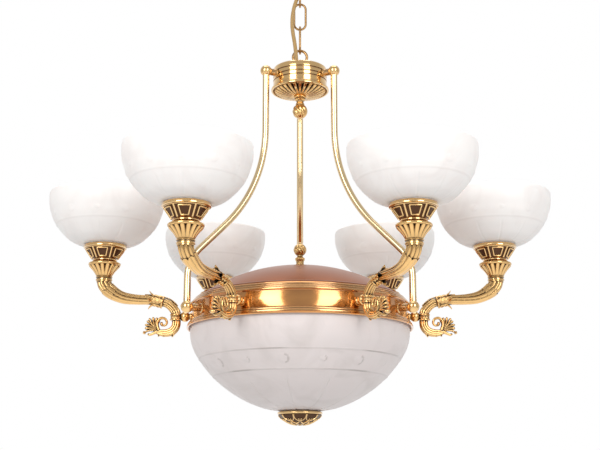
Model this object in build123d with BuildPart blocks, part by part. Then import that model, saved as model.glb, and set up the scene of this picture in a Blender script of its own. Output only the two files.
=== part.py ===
"""Six-arm bowl chandelier hung on a short chain, with glass cups and a glass bowl.

Millimetres, +Z up. The origin is on the ceiling, on the axis of the fitting.
The camera of the photograph stands on the -Y side; arm 1 points along +X.
"""

import os
from math import cos, pi, radians, sin, sqrt, tan

from build123d import *

# ---- driving sizes: the ceiling fitting -----------------------------------
BRACKET_LENGTH = 100.0
BRACKET_WIDTH = 18.0
BRACKET_THICK = 2.0
BRACKET_DROP = 10.0  # how far the middle of the strap stands off the ceiling
BRACKET_MIDDLE = 44.0  # length of the lowered middle
BRACKET_JOGGLE = 9.0  # length of each sloping step
SCREW_SPACING = 76.0
SCREW_SLOT_WIDTH = 5.0
SCREW_SLOT_LENGTH = 14.0
BLOCK_LENGTH = 11.0
BLOCK_WIDTH = 16.0
BLOCK_HEIGHT = 14.0
BLOCK_HOLE_RADIUS = 1.6
BLOCK_GAP = 2.0  # between the block and the nut beside it
CANOPY_RADIUS = 60.0
CANOPY_HEIGHT = 58.0
CANOPY_FLAT_RADIUS = 27.0  # the flat foot that the loop bears on
CANOPY_LIP = 5.0
CANOPY_WALL = 1.2
CANOPY_OUTLINE = ((0.72, 0.96), (0.94, 0.62))  # shares of radius and height that pull the curve

# ---- driving sizes: threaded tube, nuts and studs ------------------------------
TUBE_RADIUS = 5.0
TUBE_BORE = 3.5
NUT_ACROSS = 16.0
NUT_HEIGHT = 4.0
STUD_RADIUS = 3.0
STUD_NUT_ACROSS = 12.0
STUD_NUT_HEIGHT = 3.0
STUD_RUN_OUT = 6.0  # thread that shows past a nut
STUD_BITE = 2.0  # length of a stud inside its ball
FIT = 0.15  # radial clearance of a tube or stud in its hole
SEAT = 0.05  # gap between two faces that bear on each other

# ---- driving sizes: chain and cord -----------------------------------------------
LINK_COUNT = 4
LINK_LENGTH = 54.0
LINK_WIDTH = 25.0
LINK_WIRE = 4.0
WIRE_GAP = 0.1  # running gap between two wires that hang in each other
LOOP_RADIUS = 12.5  # centre line of the rings at both ends of the chain
LOOP_WIRE = 5.0
LOOP_BITE = 1.5  # how far a ring is let into its neck
LOOP_NECK_HEIGHT = 10.0
LOOP_NECK_RADIUS = 11.0
LOOP_NECK_CHAMFER = 3.0
HUB_NECK_HEIGHT = 8.5
CORD_DIAMETER = 7.0
CORD_ROUTE = [
    (-6.5, -18.5, -301.0),
    (-7.5, -14.5, -274.5),
    (-16.0, -8.5, -224.5),
    (-10.0, -9.0, -181.5),
    (9.0, 9.0, -137.5),
    (17.5, 3.0, -90.5),
    (19.0, 0.0, -61.0),
]
CORD_RADIUS_SHARE = 0.45  # of the shorter run, taken by each bend
BUSH_WALL = 2.0
BUSH_FLANGE = 1.8  # how far the flange stands out past the collar
BUSH_COLLAR = 3.0  # length of the collar inside the wall
SHANK_RUN_OUT = 1.0  # of the canopy loop's thread past its nut

# ---- driving sizes: hub -----------------------------------------------------------
HUB_RADIUS = 48.8
HUB_HEIGHT = 40.0
HUB_WALL = 1.5
HUB_SHOULDER = 4.0
HUB_RIM_RADIUS = 52.4
HUB_RIM_HEIGHT = 3.0
HUB_GROOVES = (12.0, 20.0, 27.0)  # depths below the top
HUB_GROOVE_WIDTH = 1.6
DISH_DEPTH = 14.0
DISH_WALL = 1.5
DISH_OVERHANG = 1.0
DISH_OUTLINE = (0.7, 0.42)  # shares of radius and depth of the curve's middle point
DISH_FOOT_RADIUS = 12.0
HUB_BALL_RADIUS = 13.6
HUB_FINIAL_NECK = 6.5
HUB_FINIAL_RINGS = ((12.0, 0.0), (12.0, 3.0), (10.0, 4.0), (10.0, 7.0))  # radius, drop
HUB_FINIAL_SHOULDER = 9.0  # drop at which the neck starts
HUB_FINIAL_RISE = 14.0  # from the ball's crown to the finial's top
HUB_FINIAL_BITE = 7.0  # length of the shank inside the finial
BORE_RUN_OUT = 1.0  # of a threaded bore past the end of its shank

# ---- driving sizes: rods and ring ---------------------------------------------------
ROD_COUNT = 3
ROD_RADIUS = 4.75
ROD_BORE = 3.6
ROD_TOP_REACH = 70.0  # from the axis to the rod, at the hub
ROD_FOOT_REACH = 214.0  # from the axis to the rod, at the ring
ROD_SLOPE = 45.0  # degrees from upright, in the middle
ROD_UPPER_BEND = 257.0
ROD_LOWER_BEND = 71.0
ROD_BEND_FOOT = 72.0  # height of the lower bend's foot above the ring's underside
ROD_TOP_DEPTH = 17.5  # of the upper balls, below the hub's top
ROD_BALL_RADIUS = 10.3
ROD_SOCKET_DEPTH = 5.0
STUB_RADIUS = 6.0
RING_DROP = 478.0  # from the hub's top to the ring's underside
RING_RADIUS = 187.0  # the plain band
RING_LIP_RADIUS = 195.0
RING_HEIGHT = 52.0
RING_FLARE_HEIGHT = 11.0
RING_BAND_TOP = 38.0
RING_TOP_RADIUS = 178.0
RING_WALL = 1.5
RING_LEDGE = 9.0
FLARE_STEP = 1.0  # how far the lower moulding stands out from the band
CROWN_STEP = 3.0  # how far the upper moulding stands out from the band
REED_RADIUS = 1.5
REED_COUNT = 3
STUD_LEVEL = 23.0  # height of every stud above the ring's underside
DOME_RISE = 57.0
DOME_WALL = 1.2
DOME_RIM = 4.0
DOME_FINIAL_BALL = 11.3
DOME_FINIAL_RINGS = ((9.6, 0.0), (9.6, 2.0), (7.5, 5.0), (7.5, 12.0), (8.5, 14.0), (8.5, 17.0))  # radius, rise
DOME_FINIAL_NECK = 5.0
DOME_FINIAL_SHOULDER = 19.0  # rise at which the neck starts
DOME_FINIAL_RISE = 20.5  # from the lid to the foot of the ball
DOME_FINIAL_TIP = (3.4, 1.4, 6.0)  # foot radius, head radius and height
DOME_FINIAL_BITE = 10.0  # length of the tube inside the finial
SPIDER_WIDTH = 16.0
SPIDER_THICK = 2.5
SPIDER_LEVEL = 35.0
SPIDER_DISC = 22.0
SPIDER_TAB_DROP = 9.6  # of the turned-down ends, below the studs

# ---- driving sizes: bowl ---------------------------------------------------------
BOWL_RADIUS = 188.4
BOWL_DEPTH = 145.5  # from the rim to the ground flat
BOWL_RIM_LEVEL = 7.0  # height of the rim inside the ring
BOWL_WALL = 5.0
BOWL_FLAT_RADIUS = 34.0
BOWL_HOLE_RADIUS = 7.0
BOWL_OUTLINE = ((0.995, 0.262), (0.884, 0.475), (0.662, 0.755), (0.335, 0.963))
SEAL_THICK = 1.5
SEAL_MARGIN = 2.0
CAP_RIM_RADIUS = 38.5
CAP_RIM_HEIGHT = 4.0
CAP_RIM_STEP = 3.0
CAP_DEPTH = 21.5
CAP_OUTLINE = (0.66, 0.68)  # shares of radius and depth of the curve's middle point
CAP_FOOT_SHARE = 0.26
CAP_BORE_DEPTH = 14.0
CAP_BITE = 12.0  # length of the tube inside the cap
LAMP_PLATE_RADIUS = 30.0
LAMP_PLATE_THICK = 2.0
LAMP_TAB_WIDTH = 24.0
LAMP_TAB_INSET = 3.0
LAMP_PLATE_LEVEL = -28.0
HOLDER_RADIUS = 19.0
HOLDER_LENGTH = 42.0
HOLDER_MOUTH_RADIUS = 13.6
HOLDER_MOUTH_DEPTH = 25.0
HOLDER_FOOT_SHARE = 0.45  # of the length, taken by the narrow foot
HOLDER_STEP = 3.0
HOLDER_FLOOR = 4.0
CUP_HOLDER_LENGTH = 58.0
BULB_RADIUS = 22.5
BULB_LENGTH = 74.0
BULB_CAP_RADIUS = 13.2
BULB_CAP_LENGTH = 25.0
BULB_CONTACT_RADIUS = 4.5
BULB_CONTACT_RISE = 5.0
BULB_NECK_TURN = 35.0  # degrees below the ball's equator at which the neck leaves it
BULB_SEAT = 0.3  # between the bulb's contact and the bottom of the socket
BOWL_BULB_COUNT = 3

# ---- driving sizes: arms, holders and cups ----------------------------------------
ARM_COUNT = 6
ARM_STUB_RADIUS = 6.5
ARM_BALL_RADIUS = 9.0
ARM_COLLAR_REACH = 214.3
ARM_COLLAR_RADIUS = 9.2
ARM_COLLAR_HEIGHT = 11.0
ARM_COLLAR_SWELL = 1.3
ARM_COLLAR_LIP = 2.2
ARM_BALL_STEP = 6.0  # from the collar's wall to the middle of the ball
CUP_REACH = 341.0  # from the axis to the middle of each cup
ARM_TOP_LEVEL = 120.0  # the face that carries the shade holder
ARM_DISC_RADIUS = 28.0
ARM_DISC_HEIGHT = 8.0
ARM_NECK_RADIUS = 12.4
ARM_NECK_BOTTOM = 84.0
ARM_NECK_TOP = 94.0
ARM_BANDS = (2.0, 7.0)  # rises of the two bands above the neck's bottom
ARM_BAND_HEIGHT = 2.0
ARM_BAND_SWELL = 1.8
ARM_FLARE_FLUTES = 10
ARM_FLARE = ((0.0, 15.0), (0.5, 19.0), (1.0, 27.0))  # share of the height, radius
ARM_FLARE_DEPTH = 0.86  # inner radius of the flutes as a share of the outer
ARM_DISC_EDGE = 2.0
ARM_DISC_SHOULDER = 4.0
ARM_DISC_SLOPE = 6.0
ARM_SHANK_HEIGHT = 7.0
ARM_LAP = 1.0  # how far stacked rounds of the casting run into each other
SPINE_PULL = 0.5  # how firmly a curve's end directions hold it
HORN_START = 4.0  # of the horn above, and the tail below, the stud's level
HORN_SHAPE = ((0.092, 0.272), (0.298, 0.444), (0.661, 0.479), (0.874, 0.640))  # shares, collar to neck
HORN_RADII = (8.2, 7.4, 7.3, 7.6, 8.2, 9.2, 11.2, 13.4, 13.0)
TAIL_SHAPE = ((2.2, -19.0), (10.7, -26.6), (31.7, -27.0))  # from the collar's centre
TAIL_RADII = (7.4, 7.3, 6.6, 5.0)
CALYX_SPAN = (0.24, 0.42)  # shares of the horn between which the leaf sheath lies
CALYX_RADII = (8.0, 14.0)
CALYX_LEAVES = 6
CALYX_DEPTH = 0.72
PALM_ROOT = (30.7, -26.0)  # from the collar's centre
PALM_FIRST_ANGLE = -8.0
PALM_STEP_ANGLE = 18.0
PALM_LENGTHS = (23.0, 20.0, 21.0, 24.0, 25.5, 22.5, 19.0)
PALM_LEAF = 3.4
PALM_STEM = 1.0
PALM_THICK = 10.0
SCROLL_CENTRE = (22.2, -9.0)  # from the collar's centre
SCROLL_RADIUS = 4.8
SCROLL_WIDTH = 3.0
SCROLL_THICK = 8.0
SCROLL_STEM = 4.0
SCROLL_STEM_TILT = 14.0
GALLERY_FOOT_RADIUS = 20.0
GALLERY_FOOT_HEIGHT = 4.0
GALLERY_RADIUS = 37.5
GALLERY_CONE_TOP = 23.0
GALLERY_HEIGHT = 28.0
GALLERY_STEP = 3.5  # from the cone's head out to the top ring
GALLERY_WALL = 1.4
GALLERY_RIBS = 6
GALLERY_RIB_WIDTH = 3.0
GALLERY_RIB_PROUD = 1.2
CUP_RADIUS = 100.0
CUP_HEIGHT = 95.0
CUP_WALL = 4.0
CUP_FOOT_RADIUS = 35.0
CUP_FOOT_HEIGHT = 5.0
CUP_HOLE_RADIUS = 20.5
CUP_OUTLINE = ((0.63, 0.145), (0.835, 0.365), (0.95, 0.60))
CUP_STRAIGHT_FOOT = 0.86  # share of the height above which the wall stands upright
SHADE_RING_RADIUS = 26.0
SHADE_RING_HEIGHT = 4.0

# ---- levels that follow, from the ceiling down ---------------------------------------
canopy_loop_z = -(CANOPY_HEIGHT + LOOP_NECK_HEIGHT + LOOP_RADIUS + LOOP_WIRE / 2 - LOOP_BITE)
link_drop = LINK_LENGTH - LINK_WIRE
loop_hang = (LOOP_WIRE + LINK_WIRE) / 2 + WIRE_GAP
link_hang = LINK_WIRE + WIRE_GAP
first_bar_z = canopy_loop_z - LOOP_RADIUS  # the wire that the chain hangs on
link_tops = [first_bar_z + loop_hang]
for _ in range(LINK_COUNT - 1):
    link_tops.append(link_tops[-1] - link_drop + link_hang)
last_bar_z = link_tops[-1] - link_drop
hub_loop_z = last_bar_z + loop_hang - LOOP_RADIUS
hub_top = hub_loop_z - LOOP_RADIUS - LOOP_WIRE / 2 + LOOP_BITE - HUB_NECK_HEIGHT
hub_bottom = hub_top - HUB_HEIGHT
ring_z = hub_top - RING_DROP
ring_top = ring_z + RING_HEIGHT
stud_z = ring_z + STUD_LEVEL
bowl_rim_z = ring_z + BOWL_RIM_LEVEL
bowl_flat_z = bowl_rim_z - BOWL_DEPTH
cap_z = bowl_flat_z - SEAL_THICK - 2 * SEAT
dome_top = ring_top + DOME_RISE
arm_top = ring_z + ARM_TOP_LEVEL
rod_top_z = hub_top - ROD_TOP_DEPTH
rod_azimuths = [90 + 360 / ROD_COUNT * k for k in range(ROD_COUNT)]
arm_azimuths = [360 / ARM_COUNT * k for k in range(ARM_COUNT)]
finished = {}


def keep(name, part):
    """Label a finished piece and put it on the list of pieces to write."""
    part.label = name
    finished[name] = part


def placed(part, reach, level, azimuth):
    """A copy of a part that was drawn at the axis, moved out and turned to an azimuth."""
    with BuildPart() as copy:
        with Locations(Location((0, 0, 0), (0, 0, azimuth))):
            with Locations((reach, 0, level)):
                add(part)
    return copy.part


# ---- ceiling bracket -------------------------------------------------------------------
with BuildPart() as bracket:
    middle = BRACKET_MIDDLE / 2
    end = BRACKET_LENGTH / 2
    with BuildSketch(Plane.XZ):
        with BuildLine():
            Polyline(
                (-end, 0),
                (-middle - BRACKET_JOGGLE, 0),
                (-middle, -BRACKET_DROP),
                (middle, -BRACKET_DROP),
                (middle + BRACKET_JOGGLE, 0),
                (end, 0),
            )
            offset(amount=BRACKET_THICK, side=Side.RIGHT)
        make_face()
    extrude(amount=BRACKET_WIDTH / 2, both=True)
    with BuildSketch():
        with GridLocations(SCREW_SPACING, 0, 2, 1):
            SlotOverall(SCREW_SLOT_LENGTH, SCREW_SLOT_WIDTH)
        Circle(TUBE_RADIUS + FIT)
    extrude(amount=-(BRACKET_DROP + BRACKET_THICK + 1), mode=Mode.SUBTRACT)
keep("ceiling_bracket", bracket.part)

bracket_low = -BRACKET_DROP - BRACKET_THICK
shank_top = -BRACKET_DROP + NUT_HEIGHT + SHANK_RUN_OUT


def hex_nut(level, across, height, bore):
    """A plain hexagon nut standing on a level of the axis."""
    with BuildPart() as nut:
        with BuildSketch(Plane.XY.offset(level)):
            RegularPolygon(across / 2, 6, major_radius=False)
            Circle(bore, mode=Mode.SUBTRACT)
        extrude(amount=height)
    return nut.part


with BuildPart() as bracket_nuts:
    add(hex_nut(-BRACKET_DROP + SEAT, NUT_ACROSS, NUT_HEIGHT, TUBE_RADIUS + FIT))
    add(hex_nut(bracket_low - SEAT - NUT_HEIGHT, NUT_ACROSS, NUT_HEIGHT, TUBE_RADIUS + FIT))
keep("bracket_nuts", bracket_nuts.part)

# The terminal block hangs under one half of the lowered strap.
with BuildPart() as block:
    with BuildSketch(Plane.XY.offset(bracket_low - SEAT)):
        with Locations((-(NUT_ACROSS + BLOCK_LENGTH) / 2 - BLOCK_GAP, 0)):
            Rectangle(BLOCK_LENGTH, BLOCK_WIDTH)
    extrude(amount=-BLOCK_HEIGHT)
    with Locations(block.faces().sort_by(Axis.X)[0]):
        with GridLocations(BLOCK_HEIGHT, BLOCK_WIDTH / 3, 1, 3):
            Hole(BLOCK_HOLE_RADIUS, depth=BLOCK_LENGTH / 2)
keep("terminal_block", block.part)

# ---- canopy ---------------------------------------------------------------------------
cord_top = CORD_ROUTE[-1]
cord_foot = CORD_ROUTE[0]
bush_hole = CORD_DIAMETER / 2 + BUSH_WALL
with BuildPart() as canopy:
    for inset, mode in ((0, Mode.ADD), (CANOPY_WALL, Mode.SUBTRACT)):
        foot = -CANOPY_HEIGHT + inset
        lip = CANOPY_RADIUS - inset
        with BuildSketch(Plane.XZ):
            with BuildLine():
                Polyline((0, 0), (0, foot), (CANOPY_FLAT_RADIUS, foot))
                Bezier(
                    (CANOPY_FLAT_RADIUS, foot),
                    *[(lip * r, foot * h) for r, h in CANOPY_OUTLINE],
                    (lip, -CANOPY_LIP),
                )
                Polyline((lip, -CANOPY_LIP), (lip, 0), (0, 0))
            make_face()
        revolve(axis=Axis.Z, mode=mode)
    with Locations((0, 0, -CANOPY_HEIGHT)):
        Cylinder(TUBE_RADIUS + FIT, 4 * CANOPY_WALL, mode=Mode.SUBTRACT)
    with Locations((cord_top[0], cord_top[1], -CANOPY_HEIGHT)):
        Cylinder(bush_hole + FIT, 4 * CANOPY_WALL, mode=Mode.SUBTRACT)
keep("canopy", canopy.part)


def cord_bush(spot, wall_face, wall, way):
    """The insulating bush round the cord: a flange outside a wall and a collar through it."""
    with BuildPart() as bush:
        with BuildSketch(Plane.XY.offset(wall_face + way * SEAT)):
            with Locations((spot[0], spot[1])):
                Circle(bush_hole + BUSH_FLANGE)
                Circle(CORD_DIAMETER / 2 + FIT, mode=Mode.SUBTRACT)
        extrude(amount=way * (abs(spot[2] - wall_face) - SEAT))
        with BuildSketch(Plane.XY.offset(wall_face + way * SEAT)):
            with Locations((spot[0], spot[1])):
                Circle(bush_hole)
                Circle(CORD_DIAMETER / 2 + FIT, mode=Mode.SUBTRACT)
        extrude(amount=-way * (wall + BUSH_COLLAR))
    return bush.part


keep("canopy_bush", cord_bush(cord_top, -CANOPY_HEIGHT, CANOPY_WALL, -1))

# ---- rings at the ends of the chain ---------------------------------------------------
neck_face = -CANOPY_HEIGHT - SEAT
with BuildPart() as canopy_loop:
    with BuildSketch(Plane.XY.offset(neck_face)):
        Circle(LOOP_NECK_RADIUS)
    extrude(amount=SEAT - LOOP_NECK_HEIGHT)
    neck_ends = canopy_loop.edges().filter_by(GeomType.CIRCLE).sort_by(Axis.Z)
    chamfer(neck_ends[0], LOOP_NECK_CHAMFER)
    with BuildSketch(Plane.XY.offset(neck_face)):
        Circle(TUBE_RADIUS)
    extrude(amount=shank_top - neck_face)
    with BuildSketch(Plane.XY.offset(canopy_loop_z)):
        with Locations((0, LOOP_RADIUS)):
            Circle(LOOP_WIRE / 2)
    revolve(axis=Axis((0, 0, canopy_loop_z), (1, 0, 0)))
keep("canopy_loop", canopy_loop.part)

dish_top = hub_bottom - SEAT
dish_bottom = dish_top - DISH_DEPTH
finial_top = dish_bottom - SEAT
with BuildPart() as hub_loop:
    with BuildSketch(Plane.XY.offset(hub_top + SEAT)):
        Circle(LOOP_NECK_RADIUS)
    extrude(amount=HUB_NECK_HEIGHT - SEAT)
    neck_ends = hub_loop.edges().filter_by(GeomType.CIRCLE).sort_by(Axis.Z)
    chamfer(neck_ends[-1], LOOP_NECK_CHAMFER)
    with BuildSketch(Plane.XY.offset(hub_top + SEAT)):
        Circle(TUBE_RADIUS)
    extrude(amount=finial_top - HUB_FINIAL_BITE - hub_top - SEAT)
    with BuildSketch(Plane.XY.offset(hub_loop_z)):
        with Locations((LOOP_RADIUS, 0)):
            Circle(LOOP_WIRE / 2)
    revolve(axis=Axis((0, 0, hub_loop_z), (0, 1, 0)))
keep("hub_loop", hub_loop.part)

# ---- chain: every second link stands across its neighbours ----------------------------
for number, top in enumerate(link_tops, start=1):
    side = (LINK_WIDTH - LINK_WIRE) / 2
    centre = top - link_drop / 2
    straight = link_drop / 2 - side
    plane = Plane.XZ if number % 2 else Plane.YZ
    with BuildPart() as link:
        with BuildLine(plane) as way:
            Line((side, centre - straight), (side, centre + straight))
            RadiusArc((side, centre + straight), (-side, centre + straight), -side)
            Line((-side, centre + straight), (-side, centre - straight))
            RadiusArc((-side, centre - straight), (side, centre - straight), -side)
        with BuildSketch(Plane(origin=way.wires()[0] @ 0, z_dir=way.wires()[0] % 0)):
            Circle(LINK_WIRE / 2)
        sweep(path=way.wires()[0])
    keep(f"chain_link_{number}", link.part)

# ---- cord: straight runs joined by arcs, from the hub's bush to the canopy's ------------
corners = [Vector(*point) for point in CORD_ROUTE]
runs = [b - a for a, b in zip(corners, corners[1:])]
bends = []
for before, after in zip(runs, runs[1:]):
    turn = radians(before.get_angle(after))
    bends.append(CORD_RADIUS_SHARE * min(before.length, after.length) / tan(turn / 2))
print("cord bend radii", [round(radius) for radius in bends])
with BuildPart() as cord:
    with BuildLine() as route:
        FilletPolyline(*CORD_ROUTE, radius=bends)
    with BuildSketch(Plane(origin=route.wire() @ 0, z_dir=route.wire() % 0)):
        Circle(CORD_DIAMETER / 2)
    sweep(path=route.wire())
tube_volume = pi * CORD_DIAMETER**2 / 4 * route.wire().length
print("cord length", round(route.wire().length, 1), "volume share", cord.part.volume / tube_volume)
keep("cord", cord.part)

# ---- hub --------------------------------------------------------------------------------
with BuildPart() as hub_drum:
    inner = HUB_RADIUS - HUB_WALL
    with BuildSketch(Plane.XZ):
        with BuildLine():
            Polyline(
                (TUBE_RADIUS + FIT, hub_top),
                (HUB_RADIUS - HUB_SHOULDER, hub_top),
                (HUB_RADIUS, hub_top - HUB_SHOULDER),
                (HUB_RADIUS, hub_bottom + HUB_RIM_HEIGHT),
                (HUB_RIM_RADIUS, hub_bottom + HUB_RIM_HEIGHT),
                (HUB_RIM_RADIUS, hub_bottom),
                (inner, hub_bottom),
                (inner, hub_top - HUB_SHOULDER),
                (inner - HUB_SHOULDER + HUB_WALL, hub_top - HUB_WALL),
                (TUBE_RADIUS + FIT, hub_top - HUB_WALL),
                close=True,
            )
        make_face()
        for depth in HUB_GROOVES:
            with Locations((HUB_RADIUS, hub_top - depth)):
                Rectangle(HUB_WALL, HUB_GROOVE_WIDTH, mode=Mode.SUBTRACT)
    revolve(axis=Axis.Z)
    with Locations((cord_foot[0], cord_foot[1], hub_top)):
        Cylinder(bush_hole + FIT, 4 * HUB_WALL, mode=Mode.SUBTRACT)
    for azimuth in rod_azimuths:
        outward = Vector(1, 0, 0).rotate(Axis.Z, azimuth)
        with BuildSketch(Plane(origin=outward * HUB_SHOULDER + Vector(0, 0, rod_top_z), z_dir=outward)):
            Circle(STUD_RADIUS + FIT)
        extrude(amount=HUB_RADIUS, mode=Mode.SUBTRACT)
keep("hub_drum", hub_drum.part)
keep("hub_bush", cord_bush(cord_foot, hub_top, HUB_WALL, 1))

with BuildPart() as hub_dish:
    for inset, mode in ((0, Mode.ADD), (DISH_WALL, Mode.SUBTRACT)):
        foot = dish_bottom + inset
        mouth = HUB_RADIUS + DISH_OVERHANG - inset
        with BuildSketch(Plane.XZ):
            with BuildLine():
                Polyline((mouth, dish_top), (0, dish_top), (0, foot), (DISH_FOOT_RADIUS, foot))
                Spline(
                    (DISH_FOOT_RADIUS, foot),
                    (mouth * DISH_OUTLINE[0], foot + DISH_DEPTH * DISH_OUTLINE[1]),
                    (mouth, dish_top),
                    tangents=[(1, 0), (0.5, 1)],
                )
            make_face()
        revolve(axis=Axis.Z, mode=mode)
    with Locations((0, 0, dish_bottom)):
        Cylinder(TUBE_RADIUS + FIT, 4 * DISH_WALL, mode=Mode.SUBTRACT)
keep("hub_dish", hub_dish.part)

finial_ball_z = finial_top - HUB_FINIAL_RISE - HUB_BALL_RADIUS
finial_neck_z = finial_ball_z + sqrt(HUB_BALL_RADIUS**2 - HUB_FINIAL_NECK**2)
with BuildPart() as hub_finial:
    with BuildSketch(Plane.XZ):
        with BuildLine():
            Polyline(
                (0, finial_top),
                *[(radius, finial_top - drop) for radius, drop in HUB_FINIAL_RINGS],
                (HUB_FINIAL_NECK, finial_top - HUB_FINIAL_SHOULDER),
                (HUB_FINIAL_NECK, finial_neck_z),
                (0, finial_neck_z),
                close=True,
            )
        make_face()
    revolve(axis=Axis.Z)
    with Locations((0, 0, finial_ball_z)):
        Sphere(HUB_BALL_RADIUS)
    with BuildSketch(Plane.XY.offset(finial_top)):
        Circle(TUBE_RADIUS + FIT)
    extrude(amount=-HUB_FINIAL_BITE - BORE_RUN_OUT, mode=Mode.SUBTRACT)
keep("hub_finial", hub_finial.part)

# ---- rods ------------------------------------------------------------------------------
slope = radians(ROD_SLOPE)
bend_reach = (ROD_UPPER_BEND + ROD_LOWER_BEND) * (1 - cos(slope))
slant = (ROD_FOOT_REACH - ROD_TOP_REACH - bend_reach) / sin(slope)
lower_bend_z = ring_z + ROD_BEND_FOOT
slant_foot = (ROD_FOOT_REACH - ROD_LOWER_BEND * (1 - cos(slope)), lower_bend_z + ROD_LOWER_BEND * sin(slope))
slant_head = (slant_foot[0] - slant * sin(slope), slant_foot[1] + slant * cos(slope))
upper_bend_z = slant_head[1] + ROD_UPPER_BEND * sin(slope)
ball_hold = sqrt(ROD_BALL_RADIUS**2 - (ROD_RADIUS + FIT) ** 2)
rod_head = rod_top_z - ball_hold + ROD_SOCKET_DEPTH / 2
rod_foot = stud_z + ball_hold - ROD_SOCKET_DEPTH / 2
with BuildPart() as rod:
    with BuildLine(Plane.XZ) as bow:
        Line((ROD_TOP_REACH, rod_head), (ROD_TOP_REACH, upper_bend_z))
        RadiusArc((ROD_TOP_REACH, upper_bend_z), slant_head, -ROD_UPPER_BEND)
        Line(slant_head, slant_foot)
        RadiusArc(slant_foot, (ROD_FOOT_REACH, lower_bend_z), ROD_LOWER_BEND)
        Line((ROD_FOOT_REACH, lower_bend_z), (ROD_FOOT_REACH, rod_foot))
    with BuildSketch(Plane.XY.offset(rod_head)):
        with Locations((ROD_TOP_REACH, 0)):
            Circle(ROD_RADIUS)
            Circle(ROD_BORE, mode=Mode.SUBTRACT)
    sweep(path=bow.wire())
for number, azimuth in enumerate(rod_azimuths, start=1):
    keep(f"rod_{number}", placed(rod.part, 0, 0, azimuth))


def rod_ball(reach, level, wall_face, wall, way, mouth):
    """A ball with a stub to a round wall, a stud through it and a socket for the rod."""
    with BuildPart() as ball:
        with Locations((reach, 0, level)):
            Sphere(ROD_BALL_RADIUS)
        with BuildSketch(Plane.YZ.offset(wall_face)):
            with Locations((0, level)):
                Circle(STUB_RADIUS)
        extrude(amount=reach - wall_face)
        with BuildSketch(Plane.YZ.offset(wall_face - wall - STUD_NUT_HEIGHT - STUD_RUN_OUT)):
            with Locations((0, level)):
                Circle(STUD_RADIUS)
        extrude(amount=wall + STUD_NUT_HEIGHT + STUD_RUN_OUT + STUD_BITE)
        with BuildSketch(Plane.XY.offset(mouth)):
            with Locations((reach, 0)):
                Circle(ROD_RADIUS + FIT)
        extrude(amount=way * ROD_BALL_RADIUS, mode=Mode.SUBTRACT)
    return ball.part


top_ball = rod_ball(ROD_TOP_REACH, rod_top_z, HUB_RADIUS + SEAT, HUB_WALL, -1, rod_head + SEAT)
foot_wall = RING_WALL + SPIDER_THICK
foot_ball = rod_ball(ROD_FOOT_REACH, stud_z, RING_RADIUS + SEAT, foot_wall, 1, rod_foot - SEAT)
with BuildPart() as rod_balls:
    for azimuth in rod_azimuths:
        add(placed(top_ball, 0, 0, azimuth))
        add(placed(foot_ball, 0, 0, azimuth))
keep("rod_balls", rod_balls.part)

# ---- ring -------------------------------------------------------------------------------
flare_foot = (RING_LIP_RADIUS, ring_z)
flare_head = (RING_RADIUS + FLARE_STEP, ring_z + RING_FLARE_HEIGHT)
crown_foot = (RING_RADIUS + CROWN_STEP, ring_z + RING_BAND_TOP + FLARE_STEP)
crown_head = (RING_TOP_RADIUS, ring_top)


def reeds_between(foot, head):
    """Centres of the half-round reeds along a sloping stretch of the ring."""
    shares = [(k + 0.5) / REED_COUNT for k in range(REED_COUNT)]
    return [(foot[0] + (head[0] - foot[0]) * s, foot[1] + (head[1] - foot[1]) * s) for s in shares]


with BuildPart() as ring_band:
    with BuildSketch(Plane.XZ):
        with BuildLine():
            Polyline(
                flare_foot,
                flare_head,
                (RING_RADIUS, ring_z + RING_FLARE_HEIGHT),
                (RING_RADIUS, ring_z + RING_BAND_TOP),
                crown_foot,
                crown_head,
                (RING_TOP_RADIUS - RING_LEDGE, ring_top),
            )
            offset(amount=RING_WALL, side=Side.LEFT)
        make_face()
        with Locations(*reeds_between(flare_foot, flare_head), *reeds_between(crown_foot, crown_head)):
            Circle(REED_RADIUS)
    revolve(axis=Axis.Z)
    for azimuth in rod_azimuths + arm_azimuths:
        outward = Vector(1, 0, 0).rotate(Axis.Z, azimuth)
        seat = outward * (RING_RADIUS - 4 * RING_WALL) + Vector(0, 0, stud_z)
        with BuildSketch(Plane(origin=seat, z_dir=outward)):
            Circle(STUD_RADIUS + FIT)
        extrude(amount=8 * RING_WALL, mode=Mode.SUBTRACT)
keep("ring_band", ring_band.part)

# ---- spider: three straps that carry the middle tube inside the ring --------------------
inner_wall = RING_RADIUS - RING_WALL
tab_face = sqrt(inner_wall**2 - (SPIDER_WIDTH / 2) ** 2) - SEAT
spider_z = ring_z + SPIDER_LEVEL
tab_foot = stud_z - SPIDER_TAB_DROP
with BuildPart() as spider:
    with BuildSketch(Plane.XY.offset(spider_z)):
        Circle(SPIDER_DISC)
        with PolarLocations(0, ROD_COUNT, start_angle=rod_azimuths[0]):
            with Locations((tab_face / 2, 0)):
                Rectangle(tab_face, SPIDER_WIDTH)
        Circle(TUBE_RADIUS + FIT, mode=Mode.SUBTRACT)
    extrude(amount=SPIDER_THICK)
    with BuildSketch(Plane.XY.offset(tab_foot)):
        with PolarLocations(0, ROD_COUNT, start_angle=rod_azimuths[0]):
            with Locations((tab_face - SPIDER_THICK / 2, 0)):
                Rectangle(SPIDER_THICK, SPIDER_WIDTH)
    extrude(amount=spider_z + SPIDER_THICK - tab_foot)
    for azimuth in rod_azimuths:
        outward = Vector(1, 0, 0).rotate(Axis.Z, azimuth)
        seat = outward * (tab_face - 3 * SPIDER_THICK) + Vector(0, 0, stud_z)
        with BuildSketch(Plane(origin=seat, z_dir=outward)):
            Circle(STUD_RADIUS + FIT)
        extrude(amount=6 * SPIDER_THICK, mode=Mode.SUBTRACT)
keep("ring_spider", spider.part)

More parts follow.
